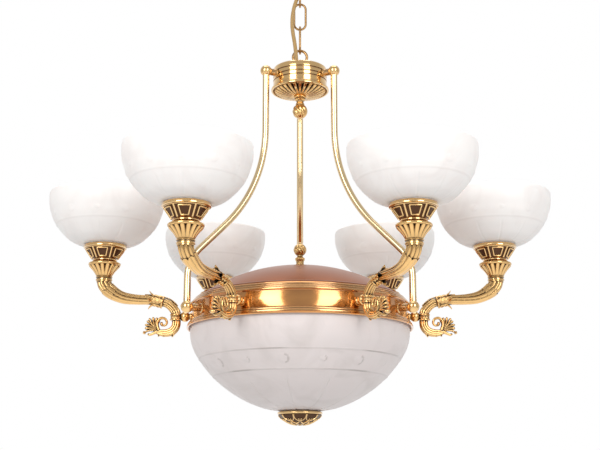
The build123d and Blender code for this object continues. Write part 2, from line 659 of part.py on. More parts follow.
# ---- dome lid and its finial ---------------------------------------------------------------
lid_foot = (RING_TOP_RADIUS - DOME_RIM, ring_top + SEAT + DOME_WALL)
lid_rise = dome_top - lid_foot[1]
lid_radius = (lid_foot[0] ** 2 + lid_rise**2) / (2 * lid_rise)
lid_hole = TUBE_RADIUS + FIT
lid_head = (lid_hole, dome_top - lid_radius + sqrt(lid_radius**2 - lid_hole**2))
with BuildPart() as dome:
    with BuildSketch(Plane.XZ):
        with BuildLine():
            RadiusArc(lid_head, lid_foot, lid_radius)
            Line(lid_foot, (RING_TOP_RADIUS, lid_foot[1]))
            offset(amount=DOME_WALL, side=Side.RIGHT)
        make_face()
    revolve(axis=Axis.Z)
keep("dome_lid", dome.part)

knob_z = dome_top + SEAT
knob_ball_z = knob_z + DOME_FINIAL_RISE + DOME_FINIAL_BALL
knob_neck_z = knob_ball_z - sqrt(DOME_FINIAL_BALL**2 - DOME_FINIAL_NECK**2)
with BuildPart() as dome_finial:
    with BuildSketch(Plane.XZ):
        with BuildLine():
            Polyline(
                (0, knob_z),
                *[(radius, knob_z + rise) for radius, rise in DOME_FINIAL_RINGS],
                (DOME_FINIAL_NECK, knob_z + DOME_FINIAL_SHOULDER),
                (DOME_FINIAL_NECK, knob_neck_z),
                (0, knob_neck_z),
                close=True,
            )
        make_face()
    revolve(axis=Axis.Z)
    with Locations((0, 0, knob_ball_z)):
        Sphere(DOME_FINIAL_BALL)
    with Locations((0, 0, knob_ball_z + DOME_FINIAL_BALL)):
        Cone(*DOME_FINIAL_TIP)
    with BuildSketch(Plane.XY.offset(knob_z)):
        Circle(TUBE_RADIUS + FIT)
    extrude(amount=DOME_FINIAL_BITE + BORE_RUN_OUT, mode=Mode.SUBTRACT)
keep("dome_finial", dome_finial.part)

# ---- bowl, its seal and the cap that holds it up ----------------------------------------
with BuildPart() as bowl:
    for inset, mode in ((0, Mode.ADD), (BOWL_WALL, Mode.SUBTRACT)):
        rim = BOWL_RADIUS - inset
        depth = BOWL_DEPTH - inset
        flat = bowl_rim_z - depth
        with BuildSketch(Plane.XZ):
            with BuildLine():
                Spline(
                    (rim, bowl_rim_z),
                    *[(rim * r, bowl_rim_z - depth * d) for r, d in BOWL_OUTLINE],
                    (BOWL_FLAT_RADIUS, flat),
                    tangents=[(0, -1), (-1, 0)],
                )
                Polyline((BOWL_FLAT_RADIUS, flat), (0, flat), (0, bowl_rim_z), (rim, bowl_rim_z))
            make_face()
        revolve(axis=Axis.Z, mode=mode)
    with Locations((0, 0, bowl_flat_z)):
        Cylinder(BOWL_HOLE_RADIUS, 4 * BOWL_WALL, mode=Mode.SUBTRACT)
keep("bowl_glass", bowl.part)

with BuildPart() as seal:
    with BuildSketch(Plane.XY.offset(bowl_flat_z - SEAT)):
        Circle(BOWL_FLAT_RADIUS - SEAL_MARGIN)
        Circle(BOWL_HOLE_RADIUS, mode=Mode.SUBTRACT)
    extrude(amount=-SEAL_THICK)
keep("bowl_seal", seal.part)

cap_rim_z = cap_z - CAP_RIM_HEIGHT
cap_foot = (CAP_RIM_RADIUS * CAP_FOOT_SHARE, cap_z - CAP_DEPTH)
with BuildPart() as cap:
    with BuildSketch(Plane.XZ):
        with BuildLine():
            Polyline((0, cap_z), (CAP_RIM_RADIUS, cap_z), (CAP_RIM_RADIUS, cap_rim_z))
            Line((CAP_RIM_RADIUS, cap_rim_z), (CAP_RIM_RADIUS - CAP_RIM_STEP, cap_rim_z))
            Spline(
                (CAP_RIM_RADIUS - CAP_RIM_STEP, cap_rim_z),
                (CAP_RIM_RADIUS * CAP_OUTLINE[0], cap_z - CAP_DEPTH * CAP_OUTLINE[1]),
                cap_foot,
            )
            Polyline(cap_foot, (0, cap_foot[1]), (0, cap_z))
        make_face()
    revolve(axis=Axis.Z)
    with BuildSketch(Plane.XY.offset(cap_z)):
        Circle(TUBE_RADIUS + FIT)
    extrude(amount=-CAP_BORE_DEPTH, mode=Mode.SUBTRACT)
keep("bowl_cap", cap.part)

# ---- middle tube and its nuts ---------------------------------------------------------------
plate_z = ring_z + LAMP_PLATE_LEVEL
with BuildPart() as centre_tube:
    with BuildSketch(Plane.XY.offset(cap_z - CAP_BITE)):
        Circle(TUBE_RADIUS)
        Circle(TUBE_BORE, mode=Mode.SUBTRACT)
    extrude(amount=knob_z + DOME_FINIAL_BITE - cap_z + CAP_BITE)
keep("centre_tube", centre_tube.part)

with BuildPart() as tube_nuts:
    for face, way in (
        (hub_top - HUB_WALL, -1),
        (spider_z, -1),
        (spider_z + SPIDER_THICK, 1),
        (plate_z, -1),
        (plate_z + LAMP_PLATE_THICK, 1),
    ):
        level = face + SEAT if way > 0 else face - SEAT - NUT_HEIGHT
        add(hex_nut(level, NUT_ACROSS, NUT_HEIGHT, TUBE_RADIUS + FIT))
keep("tube_nuts", tube_nuts.part)


# ---- lamps ------------------------------------------------------------------------------------
def lampholder(length):
    """A screw lampholder standing on z = 0: a narrow foot, a barrel and the open socket."""
    foot = length * HOLDER_FOOT_SHARE
    narrow = HOLDER_RADIUS - HOLDER_STEP
    floor = length - HOLDER_MOUTH_DEPTH
    with BuildPart() as holder:
        with BuildSketch(Plane.XZ):
            with BuildLine():
                Polyline(
                    (TUBE_RADIUS + FIT, 0),
                    (narrow, 0),
                    (narrow, foot - HOLDER_STEP),
                    (HOLDER_RADIUS, foot),
                    (HOLDER_RADIUS, length),
                    (HOLDER_MOUTH_RADIUS, length),
                    (HOLDER_MOUTH_RADIUS, floor),
                    (0, floor),
                    (0, floor - HOLDER_FLOOR),
                    (TUBE_RADIUS + FIT, floor - HOLDER_FLOOR),
                    close=True,
                )
            make_face()
        revolve(axis=Axis.Z)
    return holder.part


ball_z = BULB_LENGTH - BULB_RADIUS
neck_turn = radians(BULB_NECK_TURN)
neck_point = (BULB_RADIUS * cos(neck_turn), ball_z - BULB_RADIUS * sin(neck_turn))
with BuildPart() as bulb:
    with BuildSketch(Plane.XZ):
        with BuildLine():
            Polyline(
                (0, BULB_LENGTH),
                (0, 0),
                (BULB_CONTACT_RADIUS, 0),
                (BULB_CAP_RADIUS, BULB_CONTACT_RISE),
                (BULB_CAP_RADIUS, BULB_CAP_LENGTH),
                neck_point,
            )
            ThreePointArc(neck_point, (BULB_RADIUS, ball_z), (0, BULB_LENGTH))
        make_face()
    revolve(axis=Axis.Z)

lamp_azimuths = [rod_azimuths[0] + 180 / BOWL_BULB_COUNT * (2 * k - 1) for k in range(BOWL_BULB_COUNT)]
lamp_axis_z = plate_z - HOLDER_RADIUS
tab_outer = LAMP_PLATE_RADIUS - LAMP_TAB_INSET
with BuildPart() as lamp_plate:
    with BuildSketch(Plane.XY.offset(plate_z)):
        Circle(LAMP_PLATE_RADIUS)
        Circle(TUBE_RADIUS + FIT, mode=Mode.SUBTRACT)
    extrude(amount=LAMP_PLATE_THICK)
    with BuildSketch(Plane.XY.offset(plate_z)):
        with PolarLocations(0, BOWL_BULB_COUNT, start_angle=lamp_azimuths[0]):
            with Locations((tab_outer - LAMP_PLATE_THICK / 2, 0)):
                Rectangle(LAMP_PLATE_THICK, LAMP_TAB_WIDTH)
    extrude(amount=-(HOLDER_RADIUS + LAMP_TAB_WIDTH / 2))
    for azimuth in lamp_azimuths:
        outward = Vector(1, 0, 0).rotate(Axis.Z, azimuth)
        seat = outward * (tab_outer - 3 * LAMP_PLATE_THICK) + Vector(0, 0, lamp_axis_z)
        with BuildSketch(Plane(origin=seat, z_dir=outward)):
            Circle(TUBE_RADIUS + FIT)
        extrude(amount=6 * LAMP_PLATE_THICK, mode=Mode.SUBTRACT)
keep("lamp_plate", lamp_plate.part)


def laid(part, reach, level, azimuth):
    """A copy of a part drawn standing on z = 0, laid down to point outward from the axis."""
    with BuildPart() as copy:
        with Locations(Location((0, 0, 0), (0, 0, azimuth))):
            with Locations(Location((reach, 0, level), (0, 90, 0))):
                add(part)
    return copy.part


bowl_holder = lampholder(HOLDER_LENGTH)
bulb_start = tab_outer + SEAT + HOLDER_LENGTH - HOLDER_MOUTH_DEPTH + BULB_SEAT
with BuildPart() as bowl_holders:
    for azimuth in lamp_azimuths:
        add(laid(bowl_holder, tab_outer + SEAT, lamp_axis_z, azimuth))
with BuildPart() as bowl_bulbs:
    for azimuth in lamp_azimuths:
        add(laid(bulb.part, bulb_start, lamp_axis_z, azimuth))
keep("bowl_lampholders", bowl_holders.part)
keep("bowl_bulbs", bowl_bulbs.part)

# ---- cast arm: horns, calyx, fluted flare, palmette and scroll -------------------------------
def spine(points, start, end):
    """A smooth curve in the arm's middle plane, with its directions at both ends."""
    with BuildLine(Plane.XZ) as line:
        Spline(*points, tangents=[start, end], tangent_scalars=[SPINE_PULL, SPINE_PULL])
    return line.edge()


def horn(curve, radii):
    """A tapering curved horn: circles set square on a curve and lofted."""
    with BuildPart() as shape:
        for k, radius in enumerate(radii):
            share = k / (len(radii) - 1)
            with BuildSketch(Plane(origin=curve @ share, x_dir=(0, 1, 0), z_dir=curve % share)):
                Circle(radius)
        loft()
    return shape.part


def star(plane, points, outer, inner):
    """A fluted section: a star of straight sides on a plane."""
    corners = []
    for k in range(2 * points):
        radius = inner if k % 2 else outer
        corners.append((radius * cos(pi * k / points), radius * sin(pi * k / points)))
    with BuildSketch(plane) as section:
        Polygon(*corners, align=None)
    return section.sketch.faces()[0]


def from_collar(offset):
    """A point of the arm's middle plane, given from the centre of its collar."""
    return (ARM_COLLAR_REACH + offset[0], STUD_LEVEL + offset[1])


horn_foot = from_collar((0, HORN_START))
horn_reach = CUP_REACH - horn_foot[0]
horn_rise = ARM_NECK_BOTTOM - horn_foot[1]
horn_points = [(horn_foot[0] + horn_reach * r, horn_foot[1] + horn_rise * h) for r, h in HORN_SHAPE]
tail_points = [from_collar(offset) for offset in ((0, -HORN_START), *TAIL_SHAPE)]
palm_root = from_collar(PALM_ROOT)
scroll_centre = from_collar(SCROLL_CENTRE)
stem_middle = ((scroll_centre[0] + palm_root[0]) / 2 + 1, (scroll_centre[1] + palm_root[1]) / 2)
horn_curve = spine([horn_foot, *horn_points, (CUP_REACH, ARM_NECK_BOTTOM)], (0, 1), (0, 1))
tail_curve = spine(tail_points, (0, -1), (1, 0))
stub_start = RING_RADIUS + SEAT
stud_start = inner_wall - STUD_NUT_HEIGHT - STUD_RUN_OUT
collar_low = STUD_LEVEL - ARM_COLLAR_HEIGHT / 2
disc_low = ARM_TOP_LEVEL - ARM_DISC_HEIGHT
collar_rounds = [
    (collar_low, ARM_COLLAR_HEIGHT, 0),
    (collar_low - ARM_COLLAR_LIP / 2, ARM_COLLAR_LIP, ARM_COLLAR_SWELL),
    (collar_low + ARM_COLLAR_HEIGHT - ARM_COLLAR_LIP / 2, ARM_COLLAR_LIP, ARM_COLLAR_SWELL),
]
neck_rounds = [(ARM_NECK_BOTTOM - ARM_LAP, ARM_NECK_TOP - ARM_NECK_BOTTOM + 2 * ARM_LAP, 0)]
neck_rounds += [(ARM_NECK_BOTTOM + rise, ARM_BAND_HEIGHT, ARM_BAND_SWELL) for rise in ARM_BANDS]
with BuildPart() as arm:
    with BuildSketch(Plane.YZ.offset(stub_start)):
        with Locations((0, STUD_LEVEL)):
            Circle(ARM_STUB_RADIUS)
    extrude(amount=ARM_COLLAR_REACH - stub_start)
    with BuildSketch(Plane.YZ.offset(stud_start)):
        with Locations((0, STUD_LEVEL)):
            Circle(STUD_RADIUS)
    extrude(amount=stub_start + STUD_BITE - stud_start)
    # The ball's own axis lies along the stub, so both of its poles end inside the joined metal.
    with Locations((ARM_COLLAR_REACH - ARM_COLLAR_RADIUS - ARM_BALL_STEP, 0, STUD_LEVEL)):
        Sphere(ARM_BALL_RADIUS, rotation=(0, 90, 0))
    for level, height, swell in collar_rounds:
        with BuildSketch(Plane.XY.offset(level)):
            with Locations((ARM_COLLAR_REACH, 0)):
                Circle(ARM_COLLAR_RADIUS + swell)
        extrude(amount=height)
    add(horn(horn_curve, HORN_RADII))
    add(horn(tail_curve, TAIL_RADII))
    calyx = [Plane(origin=horn_curve @ s, x_dir=(0, 1, 0), z_dir=horn_curve % s) for s in CALYX_SPAN]
    loft([star(plane, CALYX_LEAVES, r, r * CALYX_DEPTH) for plane, r in zip(calyx, CALYX_RADII)], ruled=True)
    with BuildSketch(Plane.XZ):
        for k, length in enumerate(PALM_LENGTHS):
            angle = PALM_FIRST_ANGLE + PALM_STEP_ANGLE * k
            with Locations(Location((*palm_root, 0), (0, 0, angle))):
                Polygon(
                    (0, -PALM_STEM),
                    (length - PALM_LEAF, -PALM_LEAF),
                    (length, 0),
                    (length - PALM_LEAF, PALM_LEAF),
                    (0, PALM_STEM),
                    align=None,
                )
    extrude(amount=PALM_THICK / 2, both=True)
    with BuildSketch(Plane.XZ):
        with Locations(scroll_centre):
            Circle(SCROLL_RADIUS + SCROLL_WIDTH / 2)
            Circle(SCROLL_RADIUS - SCROLL_WIDTH / 2, mode=Mode.SUBTRACT)
        with Locations(stem_middle):
            Rectangle(SCROLL_STEM, scroll_centre[1] - palm_root[1], rotation=SCROLL_STEM_TILT)
    extrude(amount=SCROLL_THICK / 2, both=True)
    for level, height, swell in neck_rounds:
        with BuildSketch(Plane.XY.offset(level)):
            with Locations((CUP_REACH, 0)):
                Circle(ARM_NECK_RADIUS + swell)
        extrude(amount=height)
    flare = []
    for share, radius in ARM_FLARE:
        level = Plane(origin=(CUP_REACH, 0, ARM_NECK_TOP + (disc_low - ARM_NECK_TOP) * share))
        flare.append(star(level, ARM_FLARE_FLUTES, radius, radius * ARM_FLARE_DEPTH))
    loft(flare, ruled=True)
    with BuildSketch(Plane.XZ):
        with BuildLine():
            Polyline(
                (CUP_REACH, disc_low - ARM_LAP),
                (CUP_REACH + ARM_DISC_RADIUS - ARM_DISC_EDGE, disc_low - ARM_LAP),
                (CUP_REACH + ARM_DISC_RADIUS, disc_low - ARM_LAP + ARM_DISC_EDGE),
                (CUP_REACH + ARM_DISC_RADIUS, ARM_TOP_LEVEL - ARM_DISC_SHOULDER),
                (CUP_REACH + ARM_DISC_RADIUS - ARM_DISC_SLOPE, ARM_TOP_LEVEL),
                (CUP_REACH, ARM_TOP_LEVEL),
                close=True,
            )
        make_face()
    revolve(axis=Axis((CUP_REACH, 0, 0), (0, 0, 1)))
    with BuildSketch(Plane.XY.offset(ARM_TOP_LEVEL - ARM_LAP)):
        with Locations((CUP_REACH, 0)):
            Circle(TUBE_RADIUS)
    extrude(amount=ARM_LAP + ARM_SHANK_HEIGHT)
for number, azimuth in enumerate(arm_azimuths, start=1):
    keep(f"arm_{number}", placed(arm.part, 0, ring_z, azimuth))

# ---- nuts behind the walls --------------------------------------------------------------
stud_nut = hex_nut(0, STUD_NUT_ACROSS, STUD_NUT_HEIGHT, STUD_RADIUS + FIT)
nut_corner = STUD_NUT_ACROSS / sqrt(3)
hub_inner = HUB_RADIUS - HUB_WALL
hub_nut_face = sqrt(hub_inner**2 - nut_corner**2) - SEAT
arm_nut_face = sqrt(inner_wall**2 - nut_corner**2) - SEAT
spider_nut_face = tab_face - SPIDER_THICK - SEAT
with BuildPart() as frame_nuts:
    for azimuth in rod_azimuths:
        add(laid(stud_nut, hub_nut_face - STUD_NUT_HEIGHT, rod_top_z, azimuth))
        add(laid(stud_nut, spider_nut_face - STUD_NUT_HEIGHT, stud_z, azimuth))
    for azimuth in arm_azimuths:
        add(laid(stud_nut, arm_nut_face - STUD_NUT_HEIGHT, stud_z, azimuth))
keep("frame_nuts", frame_nuts.part)

# ---- shade holder, cup, lampholder, clamp ring and bulb, drawn about their own axis --------
gallery_z = arm_top + SEAT
cup_z = gallery_z + GALLERY_CONE_TOP + GALLERY_WALL + SEAT
cone_head = GALLERY_RADIUS - GALLERY_STEP
with BuildPart() as rib:
    with BuildSketch(Plane.XZ):
        with BuildLine():
            Polyline(
                (GALLERY_FOOT_RADIUS - GALLERY_WALL / 2, GALLERY_FOOT_HEIGHT),
                (GALLERY_FOOT_RADIUS + GALLERY_RIB_PROUD, GALLERY_FOOT_HEIGHT),
                (cone_head + GALLERY_RIB_PROUD, GALLERY_CONE_TOP),
                (cone_head - GALLERY_WALL / 2, GALLERY_CONE_TOP),
                close=True,
            )
        make_face()
    extrude(amount=GALLERY_RIB_WIDTH / 2, both=True)
with BuildPart() as gallery:
    with BuildSketch(Plane.XZ):
        with BuildLine():
            Polyline(
                (TUBE_RADIUS + FIT, 0),
                (GALLERY_FOOT_RADIUS, 0),
                (GALLERY_FOOT_RADIUS, GALLERY_FOOT_HEIGHT),
                (cone_head, GALLERY_CONE_TOP),
                (GALLERY_RADIUS, GALLERY_CONE_TOP),
                (GALLERY_RADIUS, GALLERY_HEIGHT),
            )
            offset(amount=GALLERY_WALL, side=Side.LEFT)
        make_face()
    revolve(axis=Axis.Z)
    with PolarLocations(0, GALLERY_RIBS):
        add(rib.part)

with BuildPart() as cup:
    for inset, mode in ((0, Mode.ADD), (CUP_WALL, Mode.SUBTRACT)):
        rim = CUP_RADIUS - inset
        foot = CUP_FOOT_RADIUS - inset
        height = CUP_HEIGHT - inset
        with BuildSketch(Plane.XZ):
            with BuildLine():
                Polyline((rim, CUP_HEIGHT), (0, CUP_HEIGHT), (0, inset), (foot, inset))
                Line((foot, inset), (foot, CUP_FOOT_HEIGHT + inset))
                Spline(
                    (foot, CUP_FOOT_HEIGHT + inset),
                    *[(rim * r, CUP_HEIGHT - height * (1 - h)) for r, h in CUP_OUTLINE],
                    (rim, CUP_HEIGHT * CUP_STRAIGHT_FOOT),
                    tangents=[(1, 0.05), (0, 1)],
                )
                Line((rim, CUP_HEIGHT * CUP_STRAIGHT_FOOT), (rim, CUP_HEIGHT))
            make_face()
        revolve(axis=Axis.Z, mode=mode)
    Cylinder(CUP_HOLE_RADIUS, 4 * CUP_WALL, mode=Mode.SUBTRACT)

holder_z = gallery_z + GALLERY_WALL + SEAT
cup_holder = lampholder(CUP_HOLDER_LENGTH)
bulb_z = holder_z + CUP_HOLDER_LENGTH - HOLDER_MOUTH_DEPTH + BULB_SEAT
clamp_z = cup_z + CUP_WALL + SEAT
with BuildPart() as clamp:
    with BuildSketch(Plane.XY):
        Circle(SHADE_RING_RADIUS)
        Circle(HOLDER_RADIUS + FIT, mode=Mode.SUBTRACT)
    extrude(amount=SHADE_RING_HEIGHT)

for number, azimuth in enumerate(arm_azimuths, start=1):
    keep(f"shade_holder_{number}", placed(gallery.part, CUP_REACH, gallery_z, azimuth))
    keep(f"glass_cup_{number}", placed(cup.part, CUP_REACH, cup_z, azimuth))
    keep(f"bulb_{number}", placed(bulb.part, CUP_REACH, bulb_z, azimuth))
with BuildPart() as cup_holders:
    for azimuth in arm_azimuths:
        add(placed(cup_holder, CUP_REACH, holder_z, azimuth))
with BuildPart() as clamp_rings:
    for azimuth in arm_azimuths:
        add(placed(clamp.part, CUP_REACH, clamp_z, azimuth))
keep("cup_lampholders", cup_holders.part)
keep("shade_clamp_rings", clamp_rings.part)

# ---- write the pieces ---------------------------------------------------------------------
os.makedirs("parts", exist_ok=True)
for name, piece in finished.items():
    export_step(piece, f"parts/{name}.step")
print("pieces", len(finished))
print("ring underside", ring_z, "dome top", round(dome_top, 2), "cap", round(cap_z - CAP_DEPTH, 2))
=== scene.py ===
# %% [markdown]
# # A six-arm bowl chandelier
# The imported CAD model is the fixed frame: bodies, joints and sizes come from it, in metres.
# Everything below either gives a CAD piece its finish or stands in for one with a richer shape.
# The fitting hangs from the ceiling at the origin, and the photograph was taken from the -Y side.

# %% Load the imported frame
from math import cos, pi, radians, sin

import bmesh
import bpy
import numpy as np
from mathutils import Matrix, Vector


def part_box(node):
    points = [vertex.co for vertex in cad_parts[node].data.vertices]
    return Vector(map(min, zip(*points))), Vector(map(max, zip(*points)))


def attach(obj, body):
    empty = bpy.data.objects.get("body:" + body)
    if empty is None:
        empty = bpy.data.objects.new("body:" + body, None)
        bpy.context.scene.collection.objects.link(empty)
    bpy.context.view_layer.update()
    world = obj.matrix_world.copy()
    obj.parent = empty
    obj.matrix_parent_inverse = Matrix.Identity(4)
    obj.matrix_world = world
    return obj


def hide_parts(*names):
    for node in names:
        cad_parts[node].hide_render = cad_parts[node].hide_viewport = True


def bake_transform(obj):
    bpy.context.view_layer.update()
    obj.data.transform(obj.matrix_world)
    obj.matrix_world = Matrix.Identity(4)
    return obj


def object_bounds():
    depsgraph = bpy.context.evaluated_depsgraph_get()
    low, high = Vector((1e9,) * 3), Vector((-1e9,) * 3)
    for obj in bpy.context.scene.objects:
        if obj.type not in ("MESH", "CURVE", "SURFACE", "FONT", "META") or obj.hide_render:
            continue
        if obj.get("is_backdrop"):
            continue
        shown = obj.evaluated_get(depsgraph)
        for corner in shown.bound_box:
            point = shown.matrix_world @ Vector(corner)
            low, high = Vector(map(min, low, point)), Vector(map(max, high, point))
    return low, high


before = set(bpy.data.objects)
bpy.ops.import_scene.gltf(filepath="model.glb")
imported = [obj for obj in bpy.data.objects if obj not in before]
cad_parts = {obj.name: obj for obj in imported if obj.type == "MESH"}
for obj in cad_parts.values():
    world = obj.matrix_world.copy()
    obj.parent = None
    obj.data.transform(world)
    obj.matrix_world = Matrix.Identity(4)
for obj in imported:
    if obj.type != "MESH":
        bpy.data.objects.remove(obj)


def placed(name, data):
    """An object of some data, linked to the scene."""
    made = bpy.data.objects.new(name, data)
    bpy.context.scene.collection.objects.link(made)
    return made


cad_low, cad_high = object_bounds()
MM = 0.001  # lengths below are written in millimetres and made metres when a mesh is built
print("CAD box", [round(x, 3) for x in (*cad_low, *cad_high)], "nodes", len(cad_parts))

# %% [markdown]
# ## Camera
# The camera was found by matching the ring, the cups and the rods with the photograph.
# It stands two metres away, a little below the bowl, and looks up at the brass.
# A long lens keeps the near and far cups close in size, as they are in the picture.

# %% Camera at the photograph's angle
IMAGE_WIDTH = 600
FOCAL_PIXELS = 1151.7
CAMERA_DISTANCE = 1.972
CAMERA_LEVEL = -1.0678
CAMERA_TILT = 13.37  # degrees upward
camera_data = bpy.data.cameras.new("camera")
camera_data.lens = camera_data.sensor_width * FOCAL_PIXELS / IMAGE_WIDTH
camera = placed("camera", camera_data)
camera.location = (0, -CAMERA_DISTANCE, CAMERA_LEVEL)
camera.rotation_euler = (radians(90 + CAMERA_TILT), 0, 0)
bpy.context.scene.camera = camera
print("lens", round(camera_data.lens, 1), "mm")

# %% [markdown]
# ## Shapes from rows of points
# Turned, spun and cast parts are all a row of points carried along something: round an axis for
# a lathe, along a curve for a horn or a cord. One helper joins the rows with faces and closes the
# ends, so each later helper only has to say where its rows lie.

# %% Rows of points become a closed solid
def solid(rows, closed=False):
    """Join rows of points round a shape. Open ends are capped to their middle; closed joins last to first."""
    rows = np.array(rows, float)
    count, steps, _ = rows.shape
    points = rows.reshape(-1, 3)
    index = np.arange(count * steps).reshape(count, steps)
    beside = np.roll(index, -1, axis=1)
    faces = []
    for k in range(count if closed else count - 1):
        n = (k + 1) % count
        faces += np.stack([index[k], beside[k], beside[n], index[n]], 1).tolist()
    if not closed:
        first, last = len(points), len(points) + 1
        points = np.vstack([points, rows[0].mean(0), rows[-1].mean(0)])
        faces += [[first, b, a] for a, b in zip(index[0].tolist(), beside[0].tolist())]
        faces += [[last, a, b] for a, b in zip(index[-1].tolist(), beside[-1].tolist())]
    return points, faces


def joined(parts):
    """Several solids as one list of points and one list of faces."""
    points, faces, start = [], [], 0
    for spots, sides in parts:
        points.append(spots)
        faces += [[i + start for i in side] for side in sides]
        start += len(spots)
    return np.vstack(points), faces


def turned(points, degrees, shift=(0, 0, 0)):
    """Points moved by a shift and then turned about the upright axis."""
    spots = np.array(points, float) + np.array(shift, float)
    c, s = cos(radians(degrees)), sin(radians(degrees))
    return spots @ np.array([[c, s, 0], [-s, c, 0], [0, 0, 1]])


def smooth(points, each=8):
    """A smooth line through a few points, as a Catmull-Rom curve."""
    spots = np.array(points, float)
    spots = np.vstack([2 * spots[0] - spots[1], spots, 2 * spots[-1] - spots[-2]])
    t = np.linspace(0, 1, each, endpoint=False)[:, None]
    line = []
    for a, b, c, d in zip(spots, spots[1:], spots[2:], spots[3:]):
        bend, twist = 2 * a - 5 * b + 4 * c - d, 3 * b - a - 3 * c + d
        line.append(0.5 * (2 * b + (c - a) * t + bend * t**2 + twist * t**3))
    return np.vstack([*line, spots[-2][None]])


def raised(outline, level):
    """An outline of (radius, height) lifted to a level."""
    return [(reach, height + level) for reach, height in outline]


def lathe(outline, steps=96, ripple=None, closed=False, centre=(0, 0)):
    """Turn an outline of (radius, level) about an upright axis; ripple may change both round the turn."""
    turns = np.linspace(0, 2 * pi, steps, endpoint=False)
    rows = []
    for reach, level in outline:
        if ripple is not None:
            reach, level = ripple(turns, reach, level)
        x, y = centre[0] + reach * np.cos(turns), centre[1] + reach * np.sin(turns)
        rows.append(np.stack([x, y, level + 0 * turns], 1))
    return solid(rows, closed)


def sweep(path, radius, steps=24, side=(0, 1, 0)):
    """Carry a ring along a path. radius is a number, a list, or a rule of the share and the turns."""
    path = np.array(path, float)
    ahead = np.gradient(path, axis=0)
    ahead /= np.linalg.norm(ahead, axis=1)[:, None]
    lengths = np.r_[0, np.cumsum(np.linalg.norm(np.diff(path, axis=0), axis=1))]
    turns = np.linspace(0, 2 * pi, steps, endpoint=False)
    across = np.array(side, float)
    rows = []
    for k, spot in enumerate(path):
        across = across - ahead[k] * (across @ ahead[k])
        across /= np.linalg.norm(across)
        out = np.cross(ahead[k], across)
        share = lengths[k] / lengths[-1]
        reach = radius(share, turns) if callable(radius) else (radius if np.isscalar(radius) else radius[k])
        reach = (reach + 0 * turns)[:, None]
        rows.append(spot + reach * (np.cos(turns)[:, None] * out + np.sin(turns)[:, None] * across))
    return solid(rows)


def piece(name, shape, finish, body, stands_for=(), sharp=40):
    """Make a mesh object from a shape in millimetres, give it a finish and let it ride on a CAD body."""
    points, faces = shape
    mesh = bpy.data.meshes.new(name)
    mesh.from_pydata((np.array(points) * MM).tolist(), [], faces)
    return dressed(name, mesh, finish, body, stands_for, sharp)


def dressed(name, mesh, finish, body, stands_for=(), sharp=40):
    """Turn a mesh's faces outward, smooth it, give it a finish and let it ride on a CAD body."""
    shell = bmesh.new()
    shell.from_mesh(mesh)
    bmesh.ops.recalc_face_normals(shell, faces=shell.faces)
    shell.to_mesh(mesh)
    shell.free()
    mesh.polygons.foreach_set("use_smooth", [True] * len(mesh.polygons))
    mesh.set_sharp_from_angle(angle=radians(sharp))
    mesh.materials.clear()
    mesh.materials.append(finish)
    made = placed(name, mesh)
    if body:
        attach(made, body)
    if stands_for:
        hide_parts(*stands_for)
    return made


def repeated(name, shape, azimuths, finish, stands_for, shift=(0, 0, 0), sharp=40):
    """The same piece of the fixture at several turns, numbered; stands_for names its CAD pieces likewise."""
    made = []
    for number, azimuth in enumerate(azimuths, start=1):
        copy = turned(shape[0], azimuth, shift), shape[1]
        replaced = [f"{stands_for}_{number}"]
        made.append(piece(f"{name}_{number}", copy, finish, "fixture", replaced, sharp))
    return made


def level_of(node, corner):
    """The lowest (0) or highest (1) level of a CAD node, in millimetres."""
    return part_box(node)[corner].z / MM


SEAT = 0.05  # the CAD's gap between faces that bear on each other
ARM_TOP_LEVEL = 120.0  # from the ring's underside to the face that carries a shade holder
arm_top = level_of("shade_holder_1", 0) - SEAT
ring_z = arm_top - ARM_TOP_LEVEL
hub_top = level_of("hub_drum", 1)
hub_bottom = level_of("hub_drum", 0)
cap_z = level_of("bowl_cap", 1)
cup_z = level_of("glass_cup_1", 0)
lid_top = level_of("dome_finial", 0) - SEAT
arm_turns = [60 * k for k in range(6)]
rod_turns = [90, 210, 330]
CUP_REACH = 341.0
BAND_RADIUS = 187.0
STUB_LEVEL = 23.0  # of the rods' and arms' stubs above the ring's underside
print("levels: ring", round(ring_z, 2), "hub", round(hub_top, 2))
print("levels: cap", round(cap_z, 2), "cup", round(cup_z, 2))

# %% [markdown]
# ## Finishes
# The photograph shows brass in many states. The band, hub, rods and rims are lacquered and bright,
# the ring's mouldings are browner, the arms are cast and brown in their hollows, and the
# chain has dulled. The lid is a rosy copper; the cap and the holders' recesses are near black.
# Real patina is rubbed off what stands proud and stays in what lies deep. A node group works out
# one mask, from how closed in the surface is, how sharply it bends and slow cloudy noise, and
# every metal uses it: the first two paint shade into the hollows, and the noise adds patina in clouds.
# What is the same all over a surface is set on the shader itself.

# %% A node group for patina and painted shade in the hollows
def feed(tree, made, inputs):
    """Give a node's inputs their values, or link them from the sockets that are given."""
    for key, given in dict(inputs).items():
        if isinstance(given, bpy.types.NodeSocket):
            tree.links.new(given, made.inputs[key])
        else:
            made.inputs[key].default_value = given


def put(tree, kind, inputs=(), out=0, **settings):
    """Add a node with its settings, feed its inputs and return one of its outputs."""
    made = tree.nodes.new(kind)
    for name, value in settings.items():
        setattr(made, name, value)
    feed(tree, made, inputs)
    return made.outputs[out]


def maths(tree, operation, *values, held=False):
    """Sockets or values put together by a sum, which may be held between 0 and 1."""
    return put(tree, "ShaderNodeMath", dict(enumerate(values)), operation=operation, use_clamp=held)


def noise(tree, place, scale, **more):
    """Cloudy noise at a place."""
    return put(tree, "ShaderNodeTexNoise", {"Vector": place, "Scale": scale, **more})


def ranged(tree, value, start=(0.0, 1.0), end=(0.0, 1.0)):
    """A value carried from one range to another."""
    ends = {"From Min": start[0], "From Max": start[1], "To Min": end[0], "To Max": end[1]}
    return put(tree, "ShaderNodeMapRange", {"Value": value, **ends})


def object_place(tree):
    """Places on the object itself, so that a finish moves with its piece."""
    return put(tree, "ShaderNodeTexCoord", out="Object")


